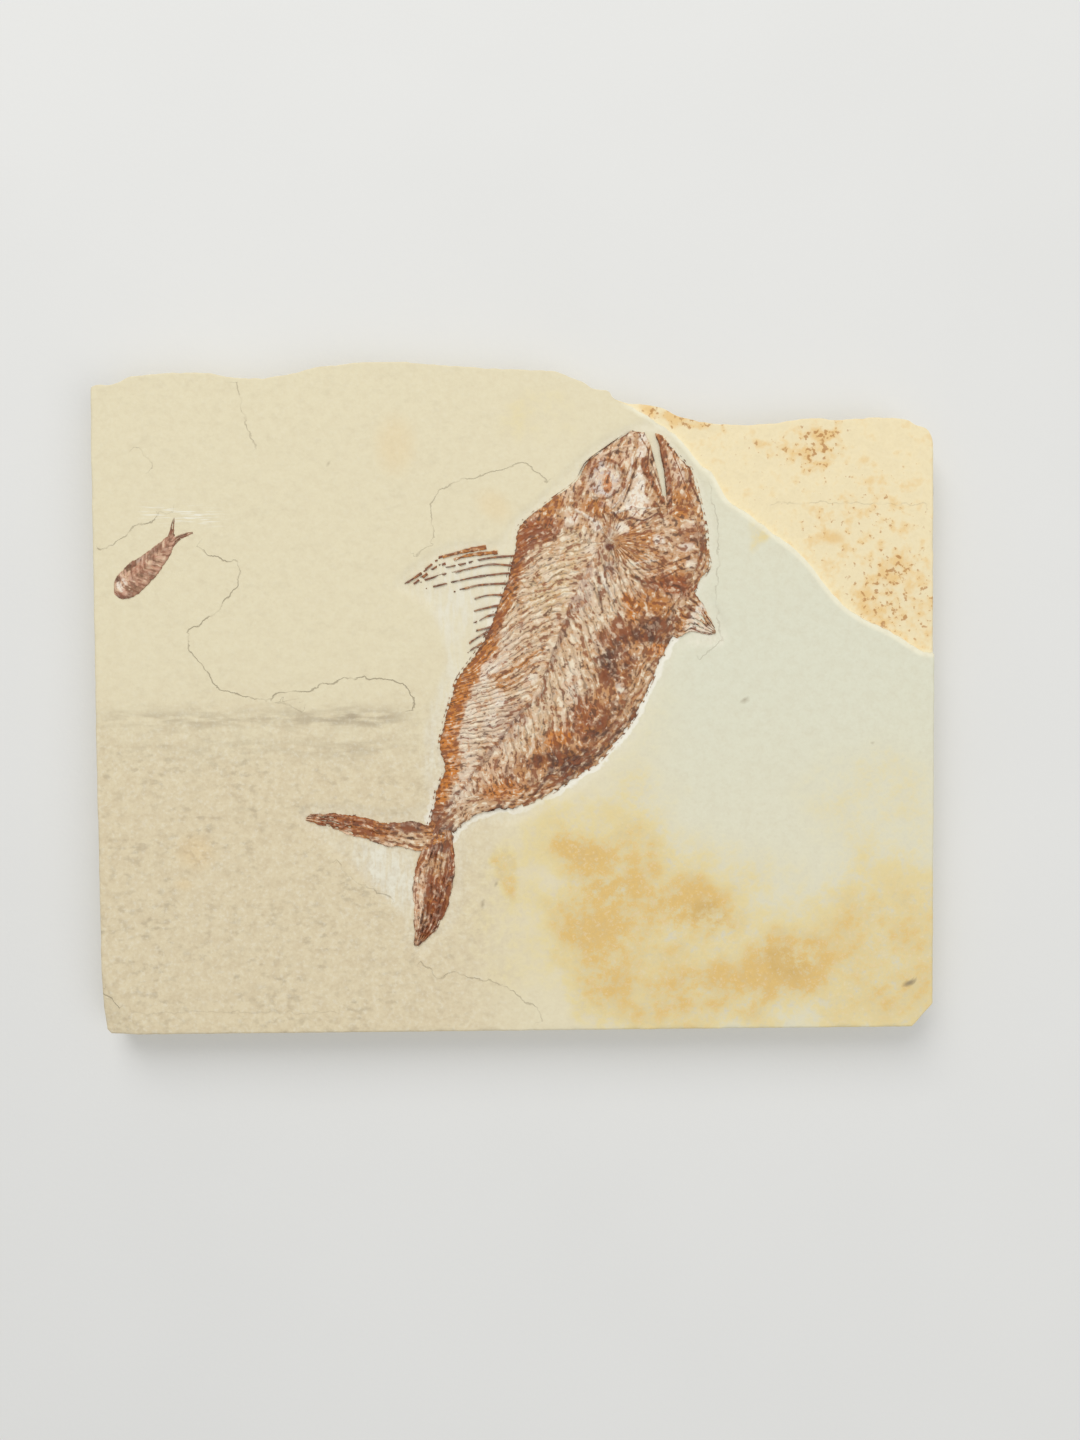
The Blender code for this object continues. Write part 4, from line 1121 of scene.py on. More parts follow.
    def paint_head(self) -> None:
        """Bone of the head: pinkish brown with streaks along its fibres, then its patches."""
        brush, on = self.brush, self.on
        head = 1.0 - on.trunk
        streak = Points(brush.across, brush.along * 0.3).grain(1.0, 51, 4)
        blot = brush.grain(1.6, 52, 4)
        brush.wash(head * 0.8, Tint.TAN)
        brush.wash(head * 0.6 * ease(0.1, 1.2, streak), Tint.RED_BROWN)
        brush.wash(head * 0.7 * ease(0.1, 1.1, -streak), Tint.PINK_BONE)
        brush.wash(head * 0.6 * ease(0.5, 1.3, blot), Tint.CHALK)
        brush.wash(head * 0.6 * ease(0.5, 1.3, -blot), Tint.ORANGE_BROWN)
        brush.height += head * (0.07 * streak + 0.05 * blot)
        for area in HEAD_PATCHES.values():
            brush.patch(area)

    def paint_eye(self) -> None:
        """The eye's orange pupil, pale socket and raised ring, and the dark red fleck at the gill's hinge."""
        brush = self.brush
        socket = Patch(self.eye, self.orbit_radii, 0, Tint.EYE_BONE, 1.0)
        pupil = Patch(self.eye, self.pupil_radii, 8, Tint.ORANGE, 1.0)
        reach = brush.reach(socket) + 0.05 * brush.rag
        centre = brush.reach(pupil) + 0.12 * brush.rag
        ring = bell(reach, 1.05, 0.12)
        brush.wash(0.7 * ring * ease(-0.3, 0.7, brush.chop), Tint.RED_BROWN)
        brush.wash(0.6 * ease(1.9, 1.4, centre) * ease(0.0, 1.0, brush.rag), Tint.LILAC)
        brush.wash(0.8 * ease(1.25, 0.95, centre), Tint.ORANGE)
        brush.height += 0.2 * ring - 0.24 * ease(1.0, 0.8, reach) + 0.3 * ease(1.2, 0.7, centre)
        brush.patch(Patch((110.3, 102.8), (1.2, 0.9), 0, Tint.DARK_RED, 0.95), 0.2)

    def raise_relief(self) -> None:
        """The fish's height: a swell across it and a crest on its backbone, under what the brush laid on."""
        brush, on = self.brush, self.on
        v = on.v
        along = np.clip((on.station - FIRST_VERTEBRA) / (len(STATIONS) - 1 - FIRST_VERTEBRA), 0.0, 1.0)
        swell = self.swell * np.sqrt(np.clip(1.0 - v**2, 0.0, 1.0)) * (0.55 + 0.45 * np.cos(1.5 * along))
        crest = 0.16 * bell(v, 0.0, 0.06) * (0.6 + 0.4 * np.cos(2 * np.pi * along * 32))
        thick = 0.13 * bell(v, 0.72, 0.16)
        head = 0.45 * (1.0 - v**6)
        brush.height += -0.14 + head * (1.0 - on.trunk) + (swell + crest + thick) * on.trunk

    def fray(self) -> None:
        """The ragged outline: the surface dives into the stone short of the grid's edge and in the mouth."""
        brush, on = self.brush, self.on
        bite = 0.1 + 0.22 * on.tooth * ease(4.0, 5.0, on.station) + 0.16 * brush.rag
        nibble = 0.16 + 0.28 * brush.grain(0.9, 61)
        root = ease(19.1, 19.9, on.station + 0.45 * brush.rag)
        snout = ease(0.35, 0.05, on.station + 0.05 * brush.rag) * ease(4.0, 3.0, np.abs(brush.x - 118.6))
        mouth = brush.against(self.mouth)
        gape = ease(1.0, 0.75, mouth.distance / (1.25 - 0.75 * mouth.share) + 0.15 * brush.rag)
        brush.sink(np.max([
            ease(bite + 0.12, bite - 0.08, on.back.distance),
            ease(nibble + 0.12, nibble - 0.08, on.belly.distance),
            root, snout, gape,
        ], axis=0))


@dataclass
class Blade:
    """A fin between two edges, with rays along it."""

    name: str
    edges: tuple[Path, Path]
    rows: int
    columns: int
    ground: Tint
    patches: tuple[Patch, ...] = ()
    rays: float = 5.0
    rib: float = 0.9  # how clearly its rays show
    crest: float = 0.3  # how far its middle stands over its edge
    edge: float = -0.12  # height of its edge
    base: float = -0.9
    bite: float = 0.12  # how far in its rim is gone
    gaps: float = 0.0  # how much of it has flaked away between its rays
    seed: int = 1

    def build(self) -> bpy.types.Object:
        """Make the piece: places first + (second - first) * v, its rays waves across v.

        Returns:
            The object with its tint field.
        """
        u = np.linspace(0.0, 1.0, self.rows)[:, None]
        v = np.linspace(0.0, 1.0, self.columns)[None, :]
        first, second = (smooth_path(edge, self.rows) for edge in self.edges)
        places = first[:, None] + (second - first)[:, None] * v[..., None]
        brush = Brush(places[..., 0], places[..., 1], self.ground)
        width = np.linalg.norm(second - first, axis=1)[:, None]
        length = np.linalg.norm(np.diff(first + second, axis=0), axis=1).sum() / 2
        blot = brush.grain(1.4, self.seed, 4)
        brush.across = v * self.rays * RIB_PITCH + 0.2 * brush.grain(2.5, self.seed + 1)
        brush.along = u * length + 0 * v
        brush.rib = self.rib * ease(-1.0, 0.5, brush.grain(2.2, self.seed + 2))
        for area in self.patches:
            brush.patch(area)
        brush.wash(0.6 * ease(0.4, 1.3, blot), Tint.UMBER)
        brush.wash(0.6 * ease(0.5, 1.4, -blot), Tint.PINK_BONE)
        rim = np.minimum(v, 1.0 - v) * width
        brush.wash(0.6 * ease(0.5, 0.2, rim), Tint.UMBER)
        wave = np.sin(2 * np.pi * brush.across / RIB_PITCH)
        brush.wash(0.75 * brush.rib * ease(0.3, 0.9, wave), Tint.DARK_BROWN)
        arch = np.sqrt(np.clip(1.0 - (2 * v - 1) ** 2, 0.0, 1.0))
        brush.height = self.edge + self.crest * arch * (1.0 - 0.55 * u) - 0.05 * wave + 0.05 * blot
        tip = (1.0 - u) * length
        bite = self.bite * (1.0 + 1.4 * brush.rag)
        flaked = self.gaps * ease(0.3, 0.7, wave * 0.6 + 0.8 * brush.chop - 0.9 + 1.1 * u)
        brush.sink(np.maximum(ease(bite + 0.12, bite - 0.05, np.minimum(rim, tip + 0.1)), flaked))
        return brush.piece(self.name, self.base)


# The dorsal fin's rays, from the back to their tips
RAYS: tuple[Path, ...] = (
    ((84.1, 103.2), (79.6, 102.4), (74.8, 101.2)),
    ((86.5, 102.1), (80.6, 101.5), (77.2, 100.6)),
    ((90.2, 101.3), (84.4, 100.8), (78.5, 99.5), (74.8, 98.9)),
    ((90.2, 99.1), (85.4, 99.5), (81.7, 98.9), (77.4, 97.9), (75.0, 97.5), (71.0, 96.3), (68.3, 95.5)),
    ((89.1, 97.6), (86.5, 97.4), (81.7, 96.8), (76.3, 95.7), (74.2, 95.2), (70.2, 94.4)),
    ((88.3, 95.4), (82.7, 95.1), (78.4, 94.1), (76.0, 93.4), (73.9, 92.9)),
    ((87.7, 92.9), (84.3, 92.9), (80.0, 91.7), (78.1, 90.7)),
    ((87.2, 90.8), (84.5, 90.3), (81.0, 89.4), (79.2, 88.1)),
    ((87.4, 89.1), (84.2, 88.4), (81.3, 87.0), (79.9, 86.3)),
    ((85.8, 86.3), (83.7, 85.8), (81.5, 85.3), (79.7, 84.5)),
    ((85.0, 85.5), (83.4, 84.7), (81.2, 83.4), (80.2, 82.6)),
    ((83.1, 82.8), (81.5, 81.8), (78.8, 80.2)),
    ((75.0, 101.4), (73.7, 100.8), (71.0, 98.4), (69.7, 97.4), (66.7, 95.5)),
    ((76.9, 100.2), (73.7, 99.2), (72.1, 98.1), (68.6, 95.5)),
)


@dataclass
class DorsalFin:
    """The dorsal fin: thin rays from the back, that break up in dots towards their tips."""

    rows: int = 120
    columns: int = 9
    base: float = -0.7

    def build(self) -> bpy.types.Object:
        """Make the fin: each ray is a bar of its own, and they are joined in one object.

        Returns:
            The object with its tint field.
        """
        bars = [self.bar(path, number) for number, path in enumerate(RAYS)]
        bpy.ops.object.select_all(action="DESELECT")
        for bar in bars:
            bar.select_set(True)
        bpy.context.view_layer.objects.active = bars[0]
        bpy.ops.object.join()
        bars[0].name = "dorsal_fin"
        return bars[0]

    def bar(self, path: Path, number: int) -> bpy.types.Object:
        """One ray: a strip along its path, round across it.

        The first two are thick and orange, and the last two, at the fin's front, run on unbroken.

        Args:
            path: its path, from the back to its tip.
            number: its number, which picks the noise.

        Returns:
            The ray's object.
        """
        thick, leading = number < 2, number > 11
        line = smooth_path(path, self.rows)
        ahead = np.gradient(line, axis=0)
        ahead /= np.linalg.norm(ahead, axis=1)[:, None]
        across = np.stack([-ahead[:, 1], ahead[:, 0]], axis=1)
        u = np.linspace(0.0, 1.0, self.rows)[:, None]
        v = np.linspace(-1.0, 1.0, self.columns)[None, :]
        uneven = 1.0 + 0.35 * Points(*line.T).grain(1.6, 91 + number)[:, None]
        half = (0.45 if thick else 0.32 if leading else 0.25) * (1.0 - 0.3 * u) * uneven
        places = line[:, None] + (across * half)[:, None] * v[..., None]
        brush = Brush(places[..., 0], places[..., 1], Tint.GREY_BROWN)
        blot = brush.grain(0.9, 81 + number)
        brush.wash(np.full(brush.x.shape, 0.9 * thick), Tint.ORANGE_BROWN)
        brush.wash((0.8 if leading else 0.4) * ease(-0.6, 0.8, blot), Tint.RED_BROWN if leading else Tint.TAN)
        brush.wash(0.4 * ease(0.5, 1.3, -blot), Tint.UMBER)
        brush.along, brush.across = u * 15.0 + 0 * v, v * half
        dots = brush.grain(1.1, 131 + number, 2)
        fade = ease(-0.1, 0.35, dots + (0.3 if leading else 1.6 - (0.4 if thick else 2.2) * u**1.5))
        brush.height = -0.1 + 0.14 * np.sqrt(1.0 - v**2)
        brush.sink(1.0 - fade)
        brush.height = np.where(np.abs(v) > 0.99, np.minimum(brush.height, -0.45), brush.height)
        return brush.piece(f"dorsal_ray_{number + 1}", self.base)


# The large fish's fins: edges, rows, columns, colour and patches
FINS = (
    Blade("upper_tail_lobe", (
        ((74.6, 44.6), (70.6, 44.3), (67.6, 45.2), (64.7, 45.1), (60.9, 45.2), (57.0, 46.4),
         (52.0, 46.9), (46.4, 46.9), (44.9, 46.1)),
        ((74.6, 39.4), (69.6, 38.2), (66.2, 38.9), (63.0, 39.3), (59.6, 40.4), (54.5, 41.5),
         (51.0, 43.2), (47.4, 44.4), (44.8, 45.2)),
    ), 190, 50, Tint.ORANGE_BROWN, (
        Patch((54.0, 44.6), (9.5, 2.4), -9, Tint.RED_BROWN, 0.95),
        Patch((66.5, 43.8), (5.5, 1.4), -3, Tint.GREY_BROWN, 0.85),
        Patch((66.5, 40.8), (5.5, 1.6), 2, Tint.PALE_BONE, 0.8),
        Patch((53.8, 42.3), (2.6, 1.0), -15, Tint.PINK_BONE, 0.95),
        Patch((61.4, 40.5), (3.4, 0.9), -12, Tint.PINK_BONE, 0.8),
        Patch((45.6, 45.6), (1.0, 0.8), 0, Tint.PINK_BONE, 0.8),
    ), rays=4.0, rib=0.5, gaps=0.5, bite=0.24, seed=201),
    Blade("lower_tail_lobe", (
        ((72.4, 45.2), (69.8, 39.6), (67.9, 35.0), (67.5, 30.0), (67.6, 26.6), (67.8, 22.0),
         (67.7, 18.3)),
        ((76.0, 45.2), (76.8, 39.6), (77.0, 35.0), (76.4, 31.2), (75.2, 26.4), (72.8, 21.8),
         (69.0, 18.2)),
    ), 170, 56, Tint.RED_BROWN, (
        Patch((73.4, 40.8), (3.6, 3.6), 0, Tint.GREY_BROWN, 0.75),
        Patch((73.8, 27.4), (2.6, 8.5), -13, Tint.RED_BROWN, 0.9),
        Patch((74.6, 27.4), (1.6, 7.5), -14, Tint.DARK_BROWN, 0.6),
        Patch((72.6, 35.4), (3.4, 2.4), 20, Tint.TAN, 0.9),
        Patch((70.4, 38.6), (1.2, 2.4), -10, Tint.PINK_BONE, 0.8),
        Patch((68.9, 27.5), (1.9, 9.0), -2, Tint.PINK_BONE, 0.95),
        Patch((70.2, 25.0), (0.7, 6.5), -8, Tint.UMBER, 0.7),
    ), rays=7.0, rib=0.45, gaps=0.45, bite=0.2, seed=211),
    Blade("pelvic_fin", (
        ((126.4, 95.4), (128.8, 93.0), (130.6, 90.2), (132.2, 87.0), (133.2, 84.6)),
        ((122.4, 84.4), (124.6, 83.2), (127.2, 84.4), (130.4, 84.0), (133.0, 83.9)),
    ), 90, 70, Tint.TAN, (
        Patch((129.0, 88.6), (1.0, 5.0), -38, Tint.CHALK, 0.8),
        Patch((124.4, 87.4), (2.4, 3.4), 20, Tint.ORANGE_BROWN, 0.8),
        Patch((129.6, 85.2), (3.0, 1.0), 0, Tint.CHALK, 0.7),
    ), rays=6.0, crest=0.22, gaps=0.75, bite=0.2, seed=221),
)


@dataclass
class LargeFish:
    """The large fish: head and trunk, dorsal fin, pelvic fin and the two lobes of its tail."""

    body: FishBody = field(default_factory=FishBody)
    finish: BoneFinish = BoneFinish("brown_bone", 0.58, 0.35)

    def build(self) -> None:
        """Make and dress every piece, and set them in the large fish's place."""
        material = self.finish.material()
        pieces = [*self.body.build(), DorsalFin().build(), *(fin.build() for fin in FINS)]
        for piece in pieces:
            dress(piece, material, "large_fish")


# Patches of colour on the small fish, the last of which is its eye
SMALL_PATCHES = (
    Patch((6.2, 95.5), (1.0, 1.1), 20, Tint.PINK_BONE, 0.95),
    Patch((7.6, 98.5), (1.2, 0.8), 50, Tint.PINK_BONE, 0.8),
    Patch((6.2, 93.3), (1.6, 0.5), 0, Tint.UMBER, 0.7),
    Patch((8.4, 95.0), (1.0, 1.0), 30, Tint.DUSK, 0.9),
    Patch((9.8, 94.9), (1.2, 0.8), 40, Tint.DUSK, 0.7),
    Patch((8.8, 100.0), (1.9, 0.6), 40, Tint.DUSK, 0.9),
    Patch((12.6, 100.6), (0.5, 0.5), 0, Tint.PINK_BONE, 0.8),
    Patch((13.6, 103.2), (3.0, 0.5), 42, Tint.DUSK, 0.7),
    Patch((10.3, 101.0), (0.9, 0.5), 40, Tint.LILAC, 0.7),
    Patch((6.2, 95.4), (0.5, 1.2), 25, Tint.CHALK, 0.9),
    Patch((7.2, 96.6), (0.4, 0.9), 30, Tint.CHALK, 0.8),
    Patch((8.3, 99.8), (1.9, 0.3), 8, Tint.UMBER, 0.7),
    Patch((15.0, 101.6), (1.4, 0.9), 50, Tint.PINK_BONE, 0.5),
    Patch((5.6, 97.0), (0.6, 0.5), 30, Tint.UMBER, 0.8),
)


@dataclass
class RibbedBody:
    """The small fish's body: a half round swell with ribs that lean tailwards from its backbone."""

    name: str
    edges: tuple[Path, Path]
    rows: int = 170
    columns: int = 60
    ribs: float = 15.0
    base: float = -0.6
    swell: float = 0.42

    def build(self) -> bpy.types.Object:
        """Make the piece: its ribs are waves of u - 0.1 |v|, with v from -1 at the back to 1 at the belly.

        Returns:
            The object with its tint field.
        """
        u = np.linspace(0.0, 1.0, self.rows)[:, None]
        v = np.linspace(-1.0, 1.0, self.columns)[None, :]
        back, belly = (smooth_path(edge, self.rows) for edge in self.edges)
        places = (back + belly)[:, None] / 2 + (belly - back)[:, None] / 2 * v[..., None]
        brush = Brush(places[..., 0], places[..., 1], Tint.ROSE_BROWN)
        blot = brush.grain(1.4, 301, 4)
        trunk = ease(0.25, 0.35, u)
        brush.across, brush.along = 24.0 * (u - 0.1 * np.abs(v)) + 0 * blot, 3.0 * v + 0 * blot
        brush.rib = 0.25 * trunk * ease(-0.8, 0.6, brush.chop)
        wave = np.cos(2 * np.pi * self.ribs * (u - 0.1 * np.abs(v)) + 0.5 * blot) * trunk
        brush.wash(0.25 * ease(0.2, 1.0, wave), Tint.PINK_BONE)
        brush.wash(0.25 * ease(0.3, 1.0, -wave), Tint.DUSK)
        brush.wash(0.6 * ease(0.1, 1.0, blot), Tint.DUSK)
        brush.wash(0.5 * ease(0.5, 1.2, -blot), Tint.PALE_BONE)
        spine = bell(v, 0.0, 0.1) * trunk
        brush.wash(0.35 * spine, Tint.DUSK)
        brush.wash(0.6 * ease(0.75, 0.95, np.abs(v)) * ease(-0.8, 0.4, brush.chop), Tint.DUSK)
        for area in SMALL_PATCHES:
            brush.patch(area)
        arch = np.sqrt(1.0 - v**2)
        brush.height = 0.02 + self.swell * arch * (1.0 - 0.4 * u) * ease(0.0, 0.12, u) + 0.04 * wave
        brush.height += 0.05 * spine + 0.04 * blot
        brush.height -= 0.12 * ease(1.4, 0.7, brush.reach(SMALL_PATCHES[-1]))
        rim = (1.0 - np.abs(v)) * np.linalg.norm(belly - back, axis=1)[:, None] / 2
        bite = 0.12 + 0.12 * brush.grain(0.8, 302)
        brush.sink(ease(bite + 0.08, bite - 0.06, rim), -0.35)
        return brush.piece(self.name, self.base)


@dataclass
class SmallFish:
    """The small fish: a ribbed body and a forked tail."""

    finish: BoneFinish = BoneFinish(
        "pink_brown_bone", 0.64, 0.3, umber=(118, 86, 62), rust=(146, 96, 74), chalk=(230, 202, 170),
        blush=(208, 166, 142), ember=(182, 122, 96), ash=(190, 160, 140))
    body: RibbedBody = field(default_factory=lambda: RibbedBody("small_fish_body", (
        ((4.7, 95.0), (4.9, 96.9), (5.7, 98.2), (7.0, 99.6), (8.6, 101.0), (10.8, 102.2), (12.9, 103.8),
         (14.9, 105.2), (17.0, 106.8)),
        ((4.9, 93.6), (6.8, 92.7), (9.6, 93.6), (11.5, 95.2), (13.1, 96.8), (14.8, 98.9), (16.2, 101.0),
         (17.5, 103.4), (18.2, 105.6)),
    )))
    lobes: tuple[tuple[Path, Path], ...] = (
        (
            ((15.6, 105.0), (16.5, 107.2), (17.0, 109.0), (17.6, 110.2)),
            ((17.8, 105.0), (18.1, 106.8), (18.1, 108.6), (17.9, 110.2)),
        ),
        (
            ((16.4, 105.2), (18.2, 106.4), (20.2, 107.1), (21.7, 107.2)),
            ((17.2, 103.4), (18.8, 105.1), (20.7, 105.8), (21.8, 106.6)),
        ),
    )

    def build(self) -> None:
        """Make and dress its three pieces, and set them in the small fish's place."""
        material = self.finish.material()
        pieces = [self.body.build()]
        for number, edges in enumerate(self.lobes, 1):
            lobe = Blade(f"small_tail_lobe_{number}", edges, 50, 18, Tint.DUSK, rays=3.0, crest=0.16,
                         edge=-0.02, base=-0.6, gaps=0.4, bite=0.08, seed=230 + 10 * number)
            pieces.append(lobe.build())
        for piece in pieces:
            dress(piece, material, "small_fish")


def dress(piece: bpy.types.Object, material: bpy.types.Material, node: str) -> None:
    """Give a piece its material, and let it stand for a node of the frame.

    Args:
        piece: the piece.
        material: its material.
        node: the node that it replaces.
    """
    piece.data.materials.clear()
    piece.data.materials.append(material)
    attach(piece, "root")
    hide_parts(node)
    log.info("%s stands for %s", piece.name, node)


# The stone's hairline cracks: how clear each is, and its path
CRACKS = {
    "above the small fish": (0.9, (
        (0.9, 103.6), (2.0, 103.2), (5.0, 104.5), (7.0, 106.4), (8.9, 108.1), (11.2, 108.8),
        (14.0, 109.4), (14.4, 111.2), (17.9, 111.2))),
    "from the small fish to the large one": (0.9, (
        (22.5, 104.1), (25.0, 102.1), (28.2, 101.0), (30.8, 101.0), (31.7, 98.6), (30.7, 95.0),
        (27.1, 90.3), (20.5, 85.8), (20.9, 81.7), (25.0, 76.5), (26.4, 73.5), (31.9, 72.1),
        (37.0, 70.6), (39.8, 72.4), (45.3, 72.9), (53.7, 75.5), (62.0, 75.5), (66.1, 74.3),
        (68.2, 71.4), (68.4, 68.2))),
    "its branch": (0.4, ((37.0, 70.6), (42.0, 70.0), (44.8, 68.5))),
    "before the head": (0.65, (
        (97.6, 116.7), (92.8, 121.1), (87.9, 119.6), (81.7, 117.8), (79.1, 117.8), (74.5, 115.2),
        (72.5, 112.5), (72.5, 109.1), (73.6, 104.9))),
    "beside the dorsal fin": (0.45, ((73.2, 103.8), (68.6, 101.2))),
    "from the broken edge": (
        0.6, ((31.6, 138.9), (31.8, 135.9), (32.5, 132.4), (33.8, 128.5), (35.8, 124.3))),
    "under the upper tail lobe": (0.65, ((51.7, 37.0), (53.9, 33.3), (58.3, 30.8), (63.9, 28.1))),
    "below the tail": (0.6, (
        (69.3, 15.2), (72.9, 11.5), (76.6, 12.5), (81.1, 11.2), (84.0, 10.9), (87.6, 9.3),
        (90.7, 6.8), (94.1, 4.8), (94.8, 1.5))),
    "upper left": (0.6, ((9.5, 125.5), (12.9, 121.6), (13.3, 120.1))),
    "along the bottom": (0.25, ((7.2, 4.7), (32.8, 4.7), (51.9, 4.2))),
    "scraper's groove": (0.4, (
        (131.5, 117.0), (133.5, 108.4), (133.6, 97.8), (132.9, 91.4), (134.1, 82.8), (129.4, 78.6))),
    "in the chipped corner": (0.8, ((1.1, 9.7), (2.8, 7.9), (4.9, 5.4))),
    "on the lower bed": (0.3, ((144.6, 111.9), (161.7, 112.0), (178.7, 111.3))),
}


# Chalky places in the scraped bed
CHALKY = {
    "between the dorsal rays": Stain((79.0, 94.0), (8.5, 11.0), -35, 0.6),
    "behind the dorsal fin": Stain((74.5, 78.0), (4.0, 12.0), 10, 0.45),
    "beside the lower back": Stain((71.5, 62.0), (3.0, 12.0), 4, 0.4),
    "between the tail lobes": Stain((63.5, 33.5), (10.0, 5.0), -42, 1.0),
    "under the pelvic fin": Stain((131.5, 82.5), (4.5, 3.0), 0, 0.7),
}


# Iron stains in the upper bed
OCHRE_STAINS = {
    "broad yellow": Stain((122.8, 20.0), (46.0, 23.0), -8, 0.25),
    "under the belly": Stain((107.7, 44.8), (17.0, 8.0), 20, 0.24),
    "left of the core": Stain((89.5, 34.3), (2.8, 6.5), 0, 0.55),
    "core": Stain((111.0, 36.4), (11.5, 7.0), -8, 0.55),
    "orange in the core": Stain((103.5, 40.9), (4.5, 2.8), 0, 0.35),
    "orange below it": Stain((112.1, 32.4), (5.0, 3.4), 0, 0.3),
    "column": Stain((105.0, 18.5), (9.0, 17.0), 0, 0.55),
    "between them": Stain((118.0, 24.0), (11.0, 9.0), -30, 0.35),
    "towards the right": Stain((128.5, 24.9), (8.5, 8.0), -30, 0.55),
    "lower right": Stain((146.6, 14.7), (9.0, 8.5), 0, 0.65),
    "bottom": Stain((132.0, 7.1), (22.4, 7.6), 0, 0.45),
    "right": Stain((169.3, 16.2), (16.0, 22.0), 0, 0.48),
    "behind the throat": Stain((140.8, 107.3), (3.0, 6.8), 0, 0.25),
    "middle of the right": Stain((167.4, 48.4), (18.0, 13.0), 0, 0.13),
    "over the head": Stain((95.8, 130.1), (12.0, 7.0), 0, 0.1),
    "beside the belly": Stain((118.0, 62.0), (12.0, 9.0), 40, 0.08),
}


# Browner places in the ochre
BROWN_STAINS = {
    "brown ochre": Stain((130.0, 23.2), (4.2, 4.6), 0, 0.6),
    "lower brown ochre": Stain((146.4, 14.0), (5.4, 5.0), 0, 0.5),
}


# Clusters of rust on the lower bed
RUST_STAINS = {
    "top": Stain((155.9, 124.8), (6.0, 4.6), 0, 0.62),
    "right": Stain((171.6, 91.0), (8.2, 9.9), 0, 0.5),
    "beside it": Stain((165.7, 90.0), (7.2, 4.7), 0, 0.3),
    "along the break": Stain((125.6, 131.2), (9.7, 2.4), -15, 0.8),
    "along the top": Stain((155.5, 128.4), (6.4, 1.7), 0, 0.7),
    "right edge": Stain((173.3, 99.5), (4.3, 5.1), 0, 0.55),
    "upper middle": Stain((146.9, 123.2), (8.5, 4.3), 0, 0.4),
    "broad": Stain((163.8, 108.1), (14.8, 12.7), 0, 0.3),
}


# Faint orange marks in both beds
ORANGE_MARKS = (
    Stain((158.2, 104.5), (2.6, 1.4), -5, 0.8),
    Stain((64.9, 125.1), (4.4, 6.5), 0, 0.2),
    Stain((21.4, 38.9), (4.4, 4.0), 0, 0.25),
    Stain((19.0, 32.0), (2.0, 1.5), 0, 0.2),
    Stain((86.0, 112.0), (4.4, 3.1), -40, 0.2),
)


# Dark pits and specks in the face
PITS = (
    Stain((173.4, 9.4), (1.7, 0.6), 22, 0.9),
    Stain((138.9, 70.0), (0.9, 0.5), 30, 0.6),
    Stain((50.8, 121.2), (0.5, 0.4), 0, 0.4),
    Stain((166.0, 60.5), (0.5, 0.4), 0, 0.4),
    Stain((30.0, 12.0), (0.7, 0.4), 0, 0.5),
    Stain((82.5, 27.0), (0.5, 0.9), 0, 0.6),
    Stain((85.6, 31.5), (0.4, 0.6), 0, 0.6),
)


# The broken edge, from left to right
BROKEN_TOP: Path = (
    (0.1, 137.6), (0.5, 138.3), (2.0, 138.6), (4.6, 138.7), (7.8, 140.0), (9.4, 140.4), (16.3, 140.9),
    (24.6, 140.9), (31.0, 139.9), (37.2, 139.7), (43.6, 140.7), (47.4, 141.7), (57.4, 142.7),
    (65.3, 142.9), (78.9, 141.7), (88.1, 141.1), (97.4, 140.6), (100.6, 139.9), (104.5, 138.4),
    (107.4, 136.7), (110.4, 136.2), (111.4, 134.9), (114.6, 133.8), (121.1, 133.0), (125.3, 130.9),
    (131.4, 129.5), (138.0, 128.9), (144.2, 129.0), (153.8, 130.1), (160.4, 129.7), (167.2, 130.1),
    (173.6, 129.9), (176.3, 128.6), (178.8, 127.4), (179.8, 125.0), (180.0, 122.0),
)


# The upper bed's edge, from the break to the right side
LEDGE: Path = (
    (111.4, 134.4), (114.0, 133.3), (117.2, 131.6), (121.4, 128.8), (125.6, 125.5), (129.8, 120.2),
    (132.4, 118.0), (135.1, 112.9), (138.9, 110.1), (145.4, 105.1), (149.2, 102.2), (153.0, 98.4),
    (156.2, 94.1), (159.5, 90.2), (164.2, 86.8), (169.9, 84.0), (174.7, 80.9), (177.1, 79.6),
    (181.0, 79.4),
)


# The bed that was scraped out round the large fish
SCRAPED: Path = (
    (118.5, 130.6), (108.0, 126.0), (102.0, 120.8), (95.0, 114.0), (88.3, 108.5), (86.0, 104.8),
    (75.0, 104.2), (64.2, 96.5), (66.0, 93.0), (72.0, 90.0), (75.0, 83.0), (75.0, 77.0),
    (72.0, 70.0), (70.5, 62.0), (70.2, 54.0), (69.0, 48.5), (60.0, 48.2), (46.0, 49.2),
    (42.5, 45.8), (47.0, 41.5), (52.5, 36.5), (58.5, 31.0), (64.0, 25.0), (65.6, 18.5),
    (69.0, 15.2), (73.5, 18.5), (78.5, 25.0), (79.6, 36.0), (81.0, 42.5), (91.0, 44.3),
    (104.0, 51.0), (114.5, 60.0), (121.0, 70.0), (125.5, 80.5), (134.5, 81.8), (136.0, 86.0),
    (132.5, 93.0), (134.6, 99.0), (134.0, 107.0), (132.6, 113.0), (130.0, 118.6), (126.0, 124.4),
    (121.8, 129.6), (118.5, 130.6),
)


